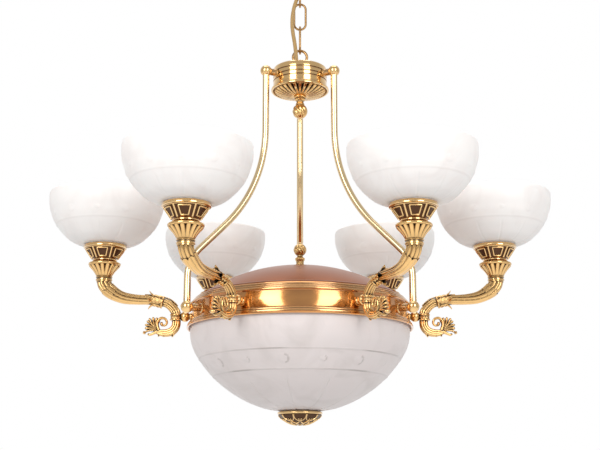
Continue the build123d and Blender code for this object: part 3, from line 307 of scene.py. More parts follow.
def patina_and_shade_group():
    """Mask, cloud and relief for aged metal: shade is painted into hollows from occlusion and bend, patina
    comes in clouds, and ridges stay bright.
    """
    tree = bpy.data.node_groups.new("patina_and_shade", "ShaderNodeTree")
    for name, start in (("Depth", 1.0), ("Cloud Scale", 30.0)):
        socket = tree.interface.new_socket(name, in_out="INPUT", socket_type="NodeSocketFloat")
        socket.default_value = start
    for name in ("Hollow", "Cloud", "Relief"):
        tree.interface.new_socket(name, in_out="OUTPUT", socket_type="NodeSocketFloat")
    given = tree.nodes.new("NodeGroupInput").outputs
    place = object_place(tree)
    bend = put(tree, "ShaderNodeNewGeometry", out="Pointiness")
    # Painted shade: the occlusion and the bend darken surfaces that are closed in or concave, where shade
    # falls; the cloud is patina.
    reach = {"Distance": 5 * MM}
    occlusion_shade = put(tree, "ShaderNodeAmbientOcclusion", reach, "AO", samples=8, only_local=True)
    cloud = noise(tree, place, given["Cloud Scale"], Detail=4.0)
    recess_shade = maths(tree, "MAXIMUM", ranged(tree, bend, (0.5, 0.42)), ranged(tree, occlusion_shade, (0.95, 0.58)))
    deep = maths(tree, "MULTIPLY", recess_shade, given["Depth"], held=True)
    mottled = maths(tree, "MULTIPLY_ADD", cloud, 0.35, -0.12, held=True)
    hollow = maths(tree, "ADD", deep, mottled, held=True)
    grain = noise(tree, place, 900.0)
    feed(tree, tree.nodes.new("NodeGroupOutput"), {"Hollow": hollow, "Cloud": cloud, "Relief": grain})
    return tree


patina_and_shade = patina_and_shade_group()


def plain_material(name):
    """A new material, its node tree and its shader."""
    made = bpy.data.materials.new(name)
    made.use_nodes = True
    return made, made.node_tree, made.node_tree.nodes["Principled BSDF"]


def mixed(tree, share, first, second):
    """A colour, or a socket with one, that turns into a second colour as the share grows."""
    first = first if isinstance(first, bpy.types.NodeSocket) else (*first, 1)
    return put(tree, "ShaderNodeMix", {"Factor": share, 6: first, 7: (*second, 1)}, 2, data_type="RGBA")


def metal(name, bright, dark, rough=(0.2, 0.4), depth=1.0, cloud=30.0, brushed=0.0, relief=0.02, lacquer=0.0):
    """A metal, bright on ridges and dark where the mask paints shade and patina into hollows, with lathe
    lines if brushed and a coat if lacquered.
    """
    made, tree, shader = plain_material(name)
    hollow = put(tree, "ShaderNodeGroup", {"Depth": depth, "Cloud Scale": cloud}, "Hollow", node_tree=patina_and_shade)
    height = hollow.node.outputs["Relief"]
    if brushed:
        stretch = put(tree, "ShaderNodeMapping", {"Vector": object_place(tree), "Scale": (4, 4, 2500)})
        height = noise(tree, stretch, 1.0)
    bump = {"Strength": brushed or 0.25, "Distance": relief * MM, "Height": height}
    feed(tree, shader, {
        "Metallic": 1.0, "Coat Weight": lacquer, "Coat Roughness": 0.08,
        "Base Color": mixed(tree, hollow, bright, dark), "Roughness": ranged(tree, hollow, end=rough),
        "Normal": put(tree, "ShaderNodeBump", bump),
    })
    return made


lathed = {"brushed": 0.05, "lacquer": 1.0}
# Each metal's second colour is what the mask lays in hollows: painted shade there, together with cloudy
# patina.
band_brass = metal("band brass", (0.76, 0.35, 0.10), (0.24, 0.08, 0.025), (0.09, 0.26), **lathed)
bright_brass = metal("bright brass", (0.86, 0.56, 0.23), (0.28, 0.12, 0.04), (0.12, 0.28), **lathed)
plain_brass = metal("plain brass", (0.88, 0.66, 0.36), (0.34, 0.17, 0.06), (0.14, 0.3), depth=0.5,
                    relief=0.006, lacquer=1.0)
reeded_brass = metal("reeded brass", (0.66, 0.36, 0.15), (0.07, 0.028, 0.014), (0.16, 0.4), lacquer=0.4)
cast_brass = metal("cast brass", (0.86, 0.53, 0.20), (0.035, 0.015, 0.008), (0.1, 0.45), cloud=60.0,
                   relief=0.008, lacquer=0.6)
aged_brass = metal("aged brass", (0.46, 0.27, 0.11), (0.07, 0.03, 0.014), (0.24, 0.45), cloud=60.0)
dark_brass = metal("dark brass", (0.10, 0.05, 0.028), (0.035, 0.018, 0.012), (0.35, 0.6), cloud=80.0)
copper = metal("rosy copper", (0.38, 0.13, 0.055), (0.22, 0.07, 0.03), (0.3, 0.44), cloud=9.0, brushed=0.1)
holder_light = metal("holder light", (0.86, 0.58, 0.27), (0.16, 0.07, 0.03), (0.16, 0.4), cloud=60.0)
cap_scale = metal("cap scale", (0.085, 0.045, 0.025), (0.03, 0.015, 0.01), (0.3, 0.55), cloud=80.0)
steel = metal("plated steel", (0.60, 0.58, 0.54), (0.36, 0.34, 0.31), (0.3, 0.5))
print("metals that use the patina group:", patina_and_shade.users)

# %% [markdown]
# ## Alabaster glass and the small dull materials
# The bowl and cups are thick frosted glass, milky and faintly pink, with slow veins like the stone
# they copy. Light sinks in and comes out softened, so the shader has some subsurface scattering
# and a rough surface. The cutting wheel leaves grooves and lenses that are cleaner than the frost:
# the meshes carry a per-point attribute of the cuts, and the material reads it to change tone and
# gloss there. The same attribute holds painted shade: a dark crescent on one side of each lens.

# %% Frosted glass, porcelain, plastic and felt
def frosted(name, colour, vein, cut_and_shade_colour, rough=0.42):
    """Milky glass with veins, and a different tone where the wheel has made its cuts and where shade is
    painted on the lenses.
    """
    made, tree, shader = plain_material(name)
    place = object_place(tree)
    # The attribute also carries painted shade: a darker crescent on one side of each lens.
    cut_and_shade_share = put(tree, "ShaderNodeAttribute", out="Fac", attribute_name="cuts_and_lens_shade")
    veins = ranged(tree, noise(tree, place, 14.0, Detail=6.0, Distortion=1.6), (0.45, 0.75))
    finish = mixed(tree, cut_and_shade_share, mixed(tree, veins, colour, vein), cut_and_shade_colour)
    gloss = ranged(tree, cut_and_shade_share, end=(rough, rough * 0.5))
    frost = {"Strength": 0.2, "Distance": 0.05 * MM, "Height": noise(tree, place, 1200.0)}
    feed(tree, shader, {
        "Subsurface Weight": 0.25, "Subsurface Radius": (1.0, 0.85, 0.8), "Subsurface Scale": 6 * MM,
        "IOR": 1.5, "Specular IOR Level": 0.35, "Base Color": finish, "Roughness": gloss,
        "Normal": put(tree, "ShaderNodeBump", frost),
    })
    return made


def dull(name, colour, second, rough, scale, sheen=0.0):
    """A quiet non-metal: two near colours mottled together, and a fine bump."""
    made, tree, shader = plain_material(name)
    speckle = noise(tree, object_place(tree), scale)
    bump = put(tree, "ShaderNodeBump", {"Strength": 0.2, "Distance": 0.1 * MM, "Height": speckle})
    tone = mixed(tree, speckle, colour, second)
    feed(tree, shader, {"Roughness": rough, "Sheen Weight": sheen, "Base Color": tone, "Normal": bump})
    return made


cup_glass = frosted("cup glass", (0.88, 0.85, 0.83), (0.82, 0.78, 0.76), (0.74, 0.70, 0.68))
bowl_glass = frosted("bowl glass", (0.73, 0.665, 0.65), (0.65, 0.59, 0.57), (0.42, 0.37, 0.35))
lamp_glass = dull("lamp glass", (0.88, 0.87, 0.84), (0.84, 0.83, 0.80), 0.25, 200.0)
porcelain = dull("porcelain", (0.82, 0.79, 0.72), (0.76, 0.73, 0.66), 0.3, 90.0)
bush_plastic = dull("bush plastic", (0.06, 0.055, 0.05), (0.09, 0.08, 0.07), 0.5, 400.0)
cord_cover = dull("cord cover", (0.46, 0.29, 0.10), (0.30, 0.17, 0.05), 0.45, 700.0, sheen=0.3)
felt = dull("felt washer", (0.24, 0.22, 0.20), (0.32, 0.30, 0.27), 0.9, 900.0, sheen=0.4)
print("dull materials ready")

# %% [markdown]
# ## Floor, world and lamps
# The picture is a product shot on white. The camera sees a white room. Mirror-like metal sees it
# white only straight behind the fitting and dimmer to the front and sides, which is what draws the
# brown bands on the drum and the arms. Dull surfaces are lit by one plain level between the two.
# Two tall soft boxes near the camera draw the white blocks on the ring's band.

# %% Stage and light
FLOOR_LEVEL = -2.9
FLOOR_SIZE = 14.0
FLOOR_LIFT = 0.36  # glow that keeps the floor white to the camera and in the brass
floor_mesh = bpy.data.meshes.new("floor")
half = FLOOR_SIZE / 2
corners = [(-half, -half), (half, -half), (half, half), (-half, half)]
floor_mesh.from_pydata([(x, y, FLOOR_LEVEL) for x, y in corners], [], [(0, 1, 2, 3)])
floor = placed("floor", floor_mesh)
floor_paint, paint_tree, floor_shader = plain_material("floor paint")
floor_rays = paint_tree.nodes.new("ShaderNodeLightPath").outputs
floor_seen = maths(paint_tree, "ADD", floor_rays["Is Camera Ray"], floor_rays["Is Glossy Ray"], held=True)
floor_glow = maths(paint_tree, "MULTIPLY", floor_seen, FLOOR_LIFT)
feed(paint_tree, floor_shader, {"Base Color": (0.86, 0.86, 0.86, 1), "Roughness": 0.8,
                                "Emission Color": (1, 1, 1, 1), "Emission Strength": floor_glow})
floor_mesh.materials.append(floor_paint)
floor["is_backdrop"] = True


def studio_world(white, dim, light, lift=0.5):
    """White to the camera, white to dim in mirrors and plain light elsewhere; lift draws both to white."""
    world = bpy.data.worlds.new("studio")
    bpy.context.scene.world = world
    world.use_nodes = True
    tree = world.node_tree
    rays = tree.nodes.new("ShaderNodeLightPath").outputs
    place = put(tree, "ShaderNodeTexCoord", out="Generated")
    behind = put(tree, "ShaderNodeSeparateXYZ", {"Vector": place}, "Y")
    room = ranged(tree, behind, (0.1, 0.95), (dim, white))
    mirrored = maths(tree, "ADD", rays["Is Glossy Ray"], rays["Is Transmission Ray"], held=True)
    seen = maths(tree, "ADD", rays["Is Camera Ray"], lift, held=True)
    other = put(tree, "ShaderNodeMix", {"Factor": mirrored, 2: light, 3: room}, data_type="FLOAT")
    strength = put(tree, "ShaderNodeMix", {"Factor": seen, 2: other, 3: white}, data_type="FLOAT")
    feed(tree, tree.nodes["Background"], {"Color": (1, 1, 1, 1), "Strength": strength})


def soft_lamp(name, spot, aim, size, power):
    """A soft box that faces a point."""
    data = bpy.data.lights.new(name, "AREA")
    data.shape = "RECTANGLE"
    data.size, data.size_y = size
    data.energy = power
    lamp = placed(name, data)
    lamp.location = spot
    lamp.rotation_euler = (Vector(aim) - Vector(spot)).to_track_quat("-Z", "Y").to_euler()


studio_world(white=1.0, dim=0.12, light=0.40)
middle = (0, 0, -0.5)
soft_lamp("left soft box", (-1.15, -2.0, 0.0), middle, (0.95, 1.4), 22)
soft_lamp("right soft box", (1.15, -2.0, 0.0), middle, (0.95, 1.4), 20)
soft_lamp("top soft box", (0, 0.2, 1.9), middle, (1.8, 1.8), 20)
print("stage and", len(bpy.data.lights), "lamps ready")

# %% [markdown]
# ## The supply cord
# A flat-looking gold cord leaves the hub through its bush, climbs beside the chain and goes
# through the second link on its way to the canopy. It is one smooth line pulled by seven given
# points. The chain has five swinging joints, so the cord is cut where the line's spans meet.

# %% Cord
CORD_ROUTE = [
    (-6.5, -18.5, -301.0),
    (-7.5, -14.5, -274.5),
    (-16.0, -8.5, -224.5),
    (-10.0, -9.0, -181.5),
    (9.0, 9.0, -137.5),
    (17.5, 3.0, -90.5),
    (19.0, 0.0, -61.0),
]
CORD_DIAMETER = 7.0
SPAN_POINTS = 16


def nurbs_line(points, resolution):
    """Points along the smooth line that a few control points pull."""
    data = bpy.data.curves.new("line", "CURVE")
    data.dimensions = "3D"
    data.resolution_u = resolution
    line = data.splines.new("NURBS")
    line.points.add(len(points) - 1)
    for spot, place in zip(line.points, points):
        spot.co = (*place, 1)
    line.order_u = 3
    line.use_endpoint_u = True
    holder = bpy.data.objects.new("line", data)
    mesh = bpy.data.meshes.new_from_object(holder)
    found = np.array([v.co for v in mesh.vertices], float)
    bpy.data.objects.remove(holder)
    bpy.data.curves.remove(data)
    bpy.data.meshes.remove(mesh)
    return found


cord_line = nurbs_line(CORD_ROUTE, SPAN_POINTS)
legs = [np.array(a) + (np.array(b) - np.array(a)) / 2 for a, b in zip(CORD_ROUTE[1:-1], CORD_ROUTE[2:-1])]
nearest = [int(np.argmin(np.linalg.norm(cord_line - leg, axis=1))) for leg in legs]
cuts = [0, *nearest, len(cord_line) - 1]
for number, (start, stop) in enumerate(zip(cuts, cuts[1:])):
    line = cord_line[start:stop + 1]
    shape = sweep(line, CORD_DIAMETER / 2, 20)
    span = piece(f"supply_cord_{number + 1}", shape, cord_cover, None)
    if number == 0:
        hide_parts("cord")
    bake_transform(span)

# %% [markdown]
# ## Geometry Nodes for what repeats
# A jeweller rolls one bead and solders it on sixty times. A node tree does the same: the modifier's
# own mesh is one element drawn out on the +X side, and the tree copies it evenly round the axis.
# Its count is a named input. A second tree bends a rounded rectangle of wire into a chain link,
# and a third sets beads along a line. Each takes its sizes and its material as inputs.

# %% Trees: round the axis, a wire link, and beads on a line
def tree_with(name, **kinds):
    """A geometry tree with a mesh in, a mesh out, some named inputs and a material; and what it is given."""
    tree = bpy.data.node_groups.new(name, "GeometryNodeTree")
    tree.interface.new_socket("Geometry", in_out="OUTPUT", socket_type="NodeSocketGeometry")
    for label, kind in {"Geometry": "Geometry", **kinds, "Material": "Material"}.items():
        tree.interface.new_socket(label, in_out="INPUT", socket_type="NodeSocket" + kind)
    return tree, tree.nodes.new("NodeGroupInput").outputs


def ended(tree, given, mesh):
    """End a tree the same way each time: real geometry, with its material set."""
    real = put(tree, "GeometryNodeRealizeInstances", {"Geometry": mesh})
    coat = put(tree, "GeometryNodeSetMaterial", {"Geometry": real, "Material": given["Material"]})
    feed(tree, tree.nodes.new("NodeGroupOutput"), {"Geometry": coat})
    return tree


def round_tree():
    """Copy the modifier's mesh evenly round the upright axis."""
    tree, given = tree_with("round the axis", Count="Int")
    step = maths(tree, "DIVIDE", 2 * pi, given["Count"])
    turn = maths(tree, "MULTIPLY", step, put(tree, "GeometryNodeInputIndex"))
    spin = put(tree, "ShaderNodeCombineXYZ", {"Z": turn})
    dots = put(tree, "GeometryNodePoints", {"Count": given["Count"]})
    copies = {"Points": dots, "Instance": given["Geometry"], "Rotation": spin}
    return ended(tree, given, put(tree, "GeometryNodeInstanceOnPoints", copies))


def link_tree():
    """Bend round wire into a chain link that stands in the XZ plane."""
    tree, given = tree_with("wire link", Length="Float", Width="Float", Wire="Float")
    sides = {"Width": given["Width"], "Height": given["Length"]}
    outline = put(tree, "GeometryNodeCurvePrimitiveQuadrilateral", sides)
    corner = {"Curve": outline, "Count": 14, "Radius": maths(tree, "MULTIPLY", given["Width"], 0.4999)}
    rounded = put(tree, "GeometryNodeFilletCurve", corner, mode="POLY")
    ring = put(tree, "GeometryNodeCurvePrimitiveCircle", {"Resolution": 20, "Radius": given["Wire"]})
    wire = put(tree, "GeometryNodeCurveToMesh", {"Curve": rounded, "Profile Curve": ring})
    upright = {"Geometry": wire, "Rotation": (pi / 2, 0, 0)}
    return ended(tree, given, put(tree, "GeometryNodeTransform", upright))


def beads_tree():
    """Set a row of beads along the modifier's own line."""
    tree, given = tree_with("beads on a line", Count="Int", Radius="Float")
    line = put(tree, "GeometryNodeMeshToCurve", {"Mesh": given["Geometry"]})
    dots = put(tree, "GeometryNodeCurveToPoints", {"Curve": line, "Count": given["Count"]}, mode="COUNT")
    bead = put(tree, "GeometryNodeMeshIcoSphere", {"Radius": given["Radius"], "Subdivisions": 2})
    return ended(tree, given, put(tree, "GeometryNodeInstanceOnPoints", {"Points": dots, "Instance": bead}))


def grown(tree, shape, **values):
    """The plain mesh that a tree makes of a shape in millimetres or of a line of points."""
    mesh = bpy.data.meshes.new(tree.name)
    if shape is not None:
        points, faces = shape
        runs = [] if faces else [(k, k + 1) for k in range(len(points) - 1)]
        mesh.from_pydata((np.array(points) * MM).tolist(), runs, faces)
    holder = placed(tree.name, mesh)
    step = holder.modifiers.new(tree.name, "NODES")
    step.node_group = tree
    for item in tree.interface.items_tree:
        if item.in_out == "INPUT" and item.name in values:
            step[item.identifier] = values[item.name]
    result = bpy.data.meshes.new_from_object(holder.evaluated_get(bpy.context.evaluated_depsgraph_get()))
    holder.modifiers.remove(step)
    bpy.data.objects.remove(holder)
    return result


around, wire_link, bead_row = round_tree(), link_tree(), beads_tree()
print("trees", [tree.name for tree in (around, wire_link, bead_row)])

# %% Chain links
LINK_WIRE = 4.0
for number in range(1, 5):
    low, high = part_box(f"chain_link_{number}")
    length = high.z - low.z - LINK_WIRE * MM
    width = max(high.x - low.x, high.y - low.y) - LINK_WIRE * MM
    mesh = grown(wire_link, None, Length=length, Width=width, Wire=LINK_WIRE / 2 * MM, Material=aged_brass)
    if high.y - low.y > high.x - low.x:
        mesh.transform(Matrix.Rotation(pi / 2, 4, "Z"))
    mesh.transform(Matrix.Translation((low + high) / 2))
    dressed(f"brass_link_{number}", mesh, aged_brass, f"link_{number}", [f"chain_link_{number}"])
print("links", [round(level_of(f"chain_link_{n}", 1), 1) for n in range(1, 5)])

# %% [markdown]
# ## Hub
# The hub is a spun drum with three turned grooves and a rolled rim. Under it hangs a fluted dish
# with a ring of beads inside the rim, and a turned finial that ends in a twisted ball. The drum
# and finial are lathe work; the dish's flutes are a ripple that grows towards its edge; the beads
# repeat, so the tree places them.

# %% Drum, dish and finial
DRUM_RADIUS = 48.8
DRUM_RIM = 52.4
GROOVE_DEPTHS = (27.0, 20.0, 12.0)
rim_low = hub_bottom - 4.4
drum = [(8, hub_bottom + 1.6), (DRUM_RIM - 5, hub_bottom + 1.2)]
drum += raised([(DRUM_RIM - 4.4, 1.4), (DRUM_RIM - 3.2, 0.2), (DRUM_RIM - 1.6, 0), (DRUM_RIM - 0.4, 0.8),
                (DRUM_RIM, 2.4), (DRUM_RIM - 0.4, 4.2), (DRUM_RIM - 1.6, 5.4), (DRUM_RADIUS + 0.4, 6.0),
                (DRUM_RADIUS, 6.6), (DRUM_RADIUS, 7.6)], rim_low)
for depth in GROOVE_DEPTHS:
    drum += raised([(DRUM_RADIUS, -1.2), (DRUM_RADIUS - 1.2, -0.7), (DRUM_RADIUS - 1.2, 0.7),
                    (DRUM_RADIUS, 1.2)], hub_top - depth)
drum += raised([(DRUM_RADIUS, -5), (DRUM_RADIUS - 0.6, -2.6), (DRUM_RADIUS - 2.4, -0.8),
                (DRUM_RADIUS - 4.6, 0), (8, 0)], hub_top)
piece("hub_shell", lathe(drum, 160), bright_brass, "fixture", ["hub_drum"], sharp=25)

DISH_RADIUS = 47.6
DISH_FOOT = 12.0
DISH_FLUTES = 28
DISH_BEADS = 64
BEAD_RADIUS = 1.4
dish_low, dish_high = level_of("hub_dish", 0), level_of("hub_dish", 1)


def dish_flutes(turns, reach, level):
    """Hollow flutes that deepen from the foot to the edge."""
    grow = max(0.0, (reach - DISH_FOOT) / (DISH_RADIUS - DISH_FOOT))
    scoop = np.clip(1.5 * np.abs(np.cos(DISH_FLUTES / 2 * turns)) - 0.25, 0, 1)
    return reach - 1.6 * grow * (1 - scoop), level + 4.6 * grow * (1 - scoop)


dish = raised([(DISH_FOOT, 0), (24, 1.6), (37, 5.2), (45, 9.0), (DISH_RADIUS - 1, 12.4)], dish_low)
dish = [*smooth(dish, 7), (DISH_RADIUS - 1.5, dish_high), (DISH_FOOT, dish_high)]
dish_shape = lathe(dish, DISH_FLUTES * 12, dish_flutes)
piece("fluted_dish", dish_shape, cast_brass, "fixture", ["hub_dish"])
bead_line = [(BEAD_RADIUS * sin(a), BEAD_RADIUS * cos(a)) for a in np.linspace(0.25, pi - 0.25, 7)]
bead = lathe(raised(bead_line, rim_low + 0.6), 10, centre=(DISH_RADIUS - 0.6, 0))
beads = grown(around, bead, Count=DISH_BEADS, Material=aged_brass)
dressed("dish_beads", beads, aged_brass, "fixture")


def twisted_ball(radius, level, depth, ribs=10, twist=0.7):
    """A turned ball with ribs that lean as they climb."""
    outline = [(radius * sin(a), level - radius * cos(a)) for a in np.linspace(0.12, pi - 0.12, 26)]

    def ripple(turns, reach, height):
        slant = turns + twist * (height - level) / radius
        return reach * (1 - depth * (1 - np.abs(np.cos(ribs / 2 * slant)))), height

    return lathe(outline, ribs * 12, ripple)


HUB_BALL = 13.6
finial_low, finial_top = level_of("hub_finial", 0), level_of("hub_finial", 1)
ball_z = finial_low + HUB_BALL
stem = raised([(2, 0), (11.2, 0), (12, -0.8), (12, -2.4), (11, -3.3), (9.6, -3.8), (10, -4.6), (10, -6.4),
               (9.2, -7.2), (7, -8.4), (6.3, -10), (6.6, -12), (8.2, -14.4)], finial_top)
stem += [(7.2, ball_z + 10.4), (2, ball_z + 9)]
hub_drop = joined([lathe(stem, 64), twisted_ball(HUB_BALL, ball_z, 0.13)])
piece("hub_drop", hub_drop, cast_brass, "fixture", ["hub_finial"])
print("hub from", round(hub_top, 1), "to", round(finial_low, 1))

# %% [markdown]
# ## Rods and their balls
# Three thin tubes hold the ring. Each drops straight from a ball on the hub, sweeps out in a wide
# bend, and drops straight again into a ball on the ring. Two arcs and three lines draw it, tangent
# to each other, so a path worked out from the bends' radii is truer than a freehand curve.

# %% Rods, balls and stubs
ROD_RADIUS = 5.9
ROD_TOP_REACH = 70.0
ROD_FOOT_REACH = 214.0
UPPER_BEND, LOWER_BEND = 257.0, 71.0
ROD_SLOPE = radians(45)
ROD_BEND_LEVEL = 72.0  # of the lower bend's foot above the ring's underside
ROD_TOP_DEPTH = 17.5  # of the upper balls below the hub's top
BALL_RADIUS = 10.3
rod_low, rod_high = level_of("rod_2", 0), level_of("rod_2", 1)
bend_low = ring_z + ROD_BEND_LEVEL
rod_line = [(ROD_FOOT_REACH, rod_low), (ROD_FOOT_REACH, (rod_low + bend_low) / 2)]
for a in np.linspace(0, ROD_SLOPE, 14):
    rod_line.append((ROD_FOOT_REACH - LOWER_BEND * (1 - cos(a)), bend_low + LOWER_BEND * sin(a)))
across = ROD_FOOT_REACH - ROD_TOP_REACH - (UPPER_BEND + LOWER_BEND) * (1 - cos(ROD_SLOPE))
bend_x, bend_z = rod_line[-1][0] - across, rod_line[-1][1] + across / sin(ROD_SLOPE) * cos(ROD_SLOPE)
for a in np.linspace(ROD_SLOPE, 0, 24):
    away = UPPER_BEND * (cos(a) - cos(ROD_SLOPE))
    rod_line.append((bend_x - away, bend_z + UPPER_BEND * (sin(ROD_SLOPE) - sin(a))))
rod_line += [(ROD_TOP_REACH, (rod_line[-1][1] + rod_high) / 2), (ROD_TOP_REACH, rod_high)]
rod = sweep([(x, 0, z) for x, z in rod_line], ROD_RADIUS, 28)
repeated("brass_rod", rod, rod_turns, plain_brass, "rod")


def ball_with_stub(reach, level, wall):
    """A turned ball whose short stub reaches back to a wall."""
    line = [(wall, 7.6), (wall + 1.8, 7.8), (wall + 2.8, 6.4), (reach - 8, 6.4)]
    line += [(reach - BALL_RADIUS * cos(a), BALL_RADIUS * sin(a)) for a in np.linspace(0.72, pi - 0.05, 26)]
    return sweep([(x, 0, level) for x, _ in line], [r for _, r in line], 40)


ball_points, ball_faces = joined([ball_with_stub(ROD_TOP_REACH, hub_top - ROD_TOP_DEPTH, DRUM_RADIUS),
                                  ball_with_stub(ROD_FOOT_REACH, ring_z + STUB_LEVEL, BAND_RADIUS)])
for number, azimuth in enumerate(rod_turns, start=1):
    stands_for = ["rod_balls"] if number == 1 else []
    shape = turned(ball_points, azimuth), ball_faces
    piece(f"rod_balls_{number}", shape, bright_brass, "fixture", stands_for)
print("rods", round(rod_high - rod_low, 1), "mm tall")

# %% [markdown]
# ## Ring and lid
# The ring is a spun band with a flared moulding at its foot and another at its head. Both
# mouldings are reeded with fine lines; their grooves are browned by the metals' mask, as painted
# shade and patina. Everything here was turned on a lathe, so everything here is an outline
# turned on the axis: the band and its ledge as one, and each moulding as a wave of small reeds
# that follows its slope.

# %% Ring
LIP_RADIUS = 195.0
CROWN_RADIUS = 190.0
LEDGE_RADIUS = 169.0
RING_HEAD_RADIUS = 178.0
band = raised([
    (192.4, 0.1), (LIP_RADIUS - 1.2, -0.4), (LIP_RADIUS, 0.5), (LIP_RADIUS + 0.2, 1.6),
    (LIP_RADIUS - 0.6, 2.6), (193.2, 3.2), (190.6, 7.4), (188.4, 10.6), (187.4, 11.2), (BAND_RADIUS, 12),
    (BAND_RADIUS, 25), (BAND_RADIUS, 37.4), (187.5, 38.2), (CROWN_RADIUS - 0.9, 38.6), (CROWN_RADIUS, 39.4),
    (CROWN_RADIUS - 1, 41), (RING_HEAD_RADIUS + 1, 50.8), (RING_HEAD_RADIUS, 52), (LEDGE_RADIUS, 52),
    (LEDGE_RADIUS, 50.5), (RING_HEAD_RADIUS - 1, 50.5), (185.5, 41), (185.5, 12.4), (189.2, 7.0),
    (191.4, 2.4),
], ring_z)
piece("ring_shell", lathe(band, 256, closed=True), band_brass, "fixture", ["ring_band"], sharp=30)


def reeded(foot, head, reeds, swell=1.3):
    """A moulding with rounded reeds that follow a slope from foot to head."""
    shares = np.linspace(0, 1, reeds * 8 + 1)
    rise = np.hypot(head[0] - foot[0], head[1] - foot[1])
    out = np.array([head[1] - foot[1], foot[0] - head[0]]) / rise
    line = np.outer(1 - shares, foot) + np.outer(shares, head)
    line += np.outer(0.15 + swell * np.abs(np.sin(reeds * pi * shares)), out)
    outline = [*line.tolist(), (head[0] - 1, head[1] - 0.2), (foot[0] - 1, foot[1] + 0.2)]
    return lathe(raised(outline, ring_z), 256, closed=True)


mouldings = joined([reeded((193.8, 3.2), (188.2, 10.9), 2), reeded((189.8, 39.4), (179.6, 50.8), 3)])
piece("reeded_mouldings", mouldings, reeded_brass, "fixture", sharp=60)

# %% Lid and its finial
LID_EDGE_LEVEL = 54.3  # above the ring's underside
LID_RADIUS = 174.0
LID_SHEET = 1.2
LID_HOLE_ANGLE = 0.031  # where the dome starts at its middle hole, as an angle of its arc
lid_rise = lid_top - ring_z - LID_EDGE_LEVEL
lid_arc = (LID_RADIUS**2 + lid_rise**2) / (2 * lid_rise)
angles = np.linspace(np.arcsin(LID_RADIUS / lid_arc), LID_HOLE_ANGLE, 40)
lid_line = [(lid_arc * sin(a), lid_top - lid_arc * (1 - cos(a))) for a in angles]
rim = raised([(LID_RADIUS + 1.2, 52.1), (177.6, 52.1), (178, 52.6), (177.6, 53.4), (175.6, 53.6),
              (174.8, 54.2)], ring_z)
lid = lathe([*rim, *lid_line, *raised(lid_line[::-1], -LID_SHEET)], 192, closed=True)
piece("copper_lid", lid, copper, "fixture", ["dome_lid"], sharp=30)

KNOB_BALL = 11.3
KNOB_NECK = 20.5
knob_z = lid_top + SEAT
knob_ball = knob_z + KNOB_NECK + KNOB_BALL
knob = raised([(2, 0), (8.6, 0), (9.6, 0.7), (9.6, 1.7), (8.4, 2.6), (7.6, 4.6), (6.6, 8), (7.0, 11.6),
               (8.3, 13.6), (8.5, 15.2), (8.3, 17), (6, 18.6), (5, 20)], knob_z)
knob += [(5, knob_ball - 9.6), (2, knob_ball - 8)]
tip = raised([(2, 9), (3.6, 10.6), (3.2, 12), (2, 13.4), (0.6, 14)], knob_ball)
lid_drop = joined([lathe(knob, 64), twisted_ball(KNOB_BALL, knob_ball, 0.12), lathe(tip, 32)])
piece("lid_finial", lid_drop, cast_brass, "fixture", ["dome_finial"])
print("lid rises", round(lid_rise, 1), "mm")

# %% [markdown]
# ## Cut glass
# The bowl and cups are blown thick, ground, and then cut on a stone wheel. Fine worn lines run
# round, a row of large and small lenses sits beside them, and thin raised ribs run down towards
# the middle. The wheel's cuts are true dents here, pressed into a dense lathe mesh along the
# surface's own normal. Only part of each line is marked in the glass's attribute, so a line looks
# worn. Of each lens only the edge on one side is marked, which paints shade there as a half-dark
# crescent.

# %% A bowl of cut glass
def ridge(distance, width):
    """1 in the middle of a cut and 0 past its edge, with a round floor."""
    return np.sqrt(np.clip(1 - (distance / width) ** 2, 0, 1))


def cut_glass(outline, inner, steps, cuts):
    """Turn an outline with a wall and press cuts into its outside; returns the shape and each point's mark
    for the cuts and the painted lens shade.
    """
    outline = np.array(outline, float)
    along = np.gradient(outline, axis=0)
    along /= np.linalg.norm(along, axis=1)[:, None]
    turns = np.linspace(0, 2 * pi, steps, endpoint=False)
    rings, marks = [], []
    for (reach, level), (along_r, along_z) in zip(outline, along):
        deep, mark = cuts(turns, reach, level)
        rings.append((reach + deep * along_z, level - deep * along_r))
        marks.append(mark + 0 * turns)
    rings += [(reach + 0 * turns, level + 0 * turns) for reach, level in inner]
    marks += [0 * turns for _ in inner]
    rows = [np.stack([reach * np.cos(turns), reach * np.sin(turns), level], 1) for reach, level in rings]
    return solid(rows, closed=True), np.concatenate(marks)


def marked(made, marks):
    """Keep each point's mark for the cuts and the painted lens shade as an attribute that the glass material
    reads.
    """
    made.data.attributes.new("cuts_and_lens_shade", "FLOAT", "POINT").data.foreach_set("value", np.clip(marks, 0, 1))


bowl_line = raised(smooth([
    (34.0, -138.5), (62.4, -133.2), (89.2, -123.1), (108.2, -113.0), (123.6, -102.8), (136.4, -92.7),
    (147.8, -82.5), (157.0, -72.3), (165.4, -62.0), (172.8, -51.8), (179.2, -41.5), (184.0, -31.0),
    (187.4, -18.0), (188.6, -5.0), (188.4, 5.6),
], 10), ring_z)
bowl_inner = raised([(187.4, 7.0), *smooth([
    (183.4, 7.0), (182.6, -16.0), (179.0, -30.0), (168.6, -49.0), (152.8, -69.0), (132.4, -89.6),
    (106.0, -109.0), (61.4, -128.4), (34.0, -133.5),
], 4), (7.0, -133.5), (7.0, -138.5)], ring_z)
BOWL_LINES = (ring_z - 52.0, ring_z - 82.0)
BOWL_LENS_LEVEL = ring_z - 67.0
BOWL_LENSES = 16
BOWL_RIBS = 12
FIRST_LENS = radians(-90 - 9)


def nearest_of(count, turns, reach, first=0.0):
    """The number of the nearest of a row's places round the turn, and how far aside of it each point is."""
    step = 2 * pi / count
    number = np.round((turns - first) / step)
    return number, (turns - first - number * step) * reach


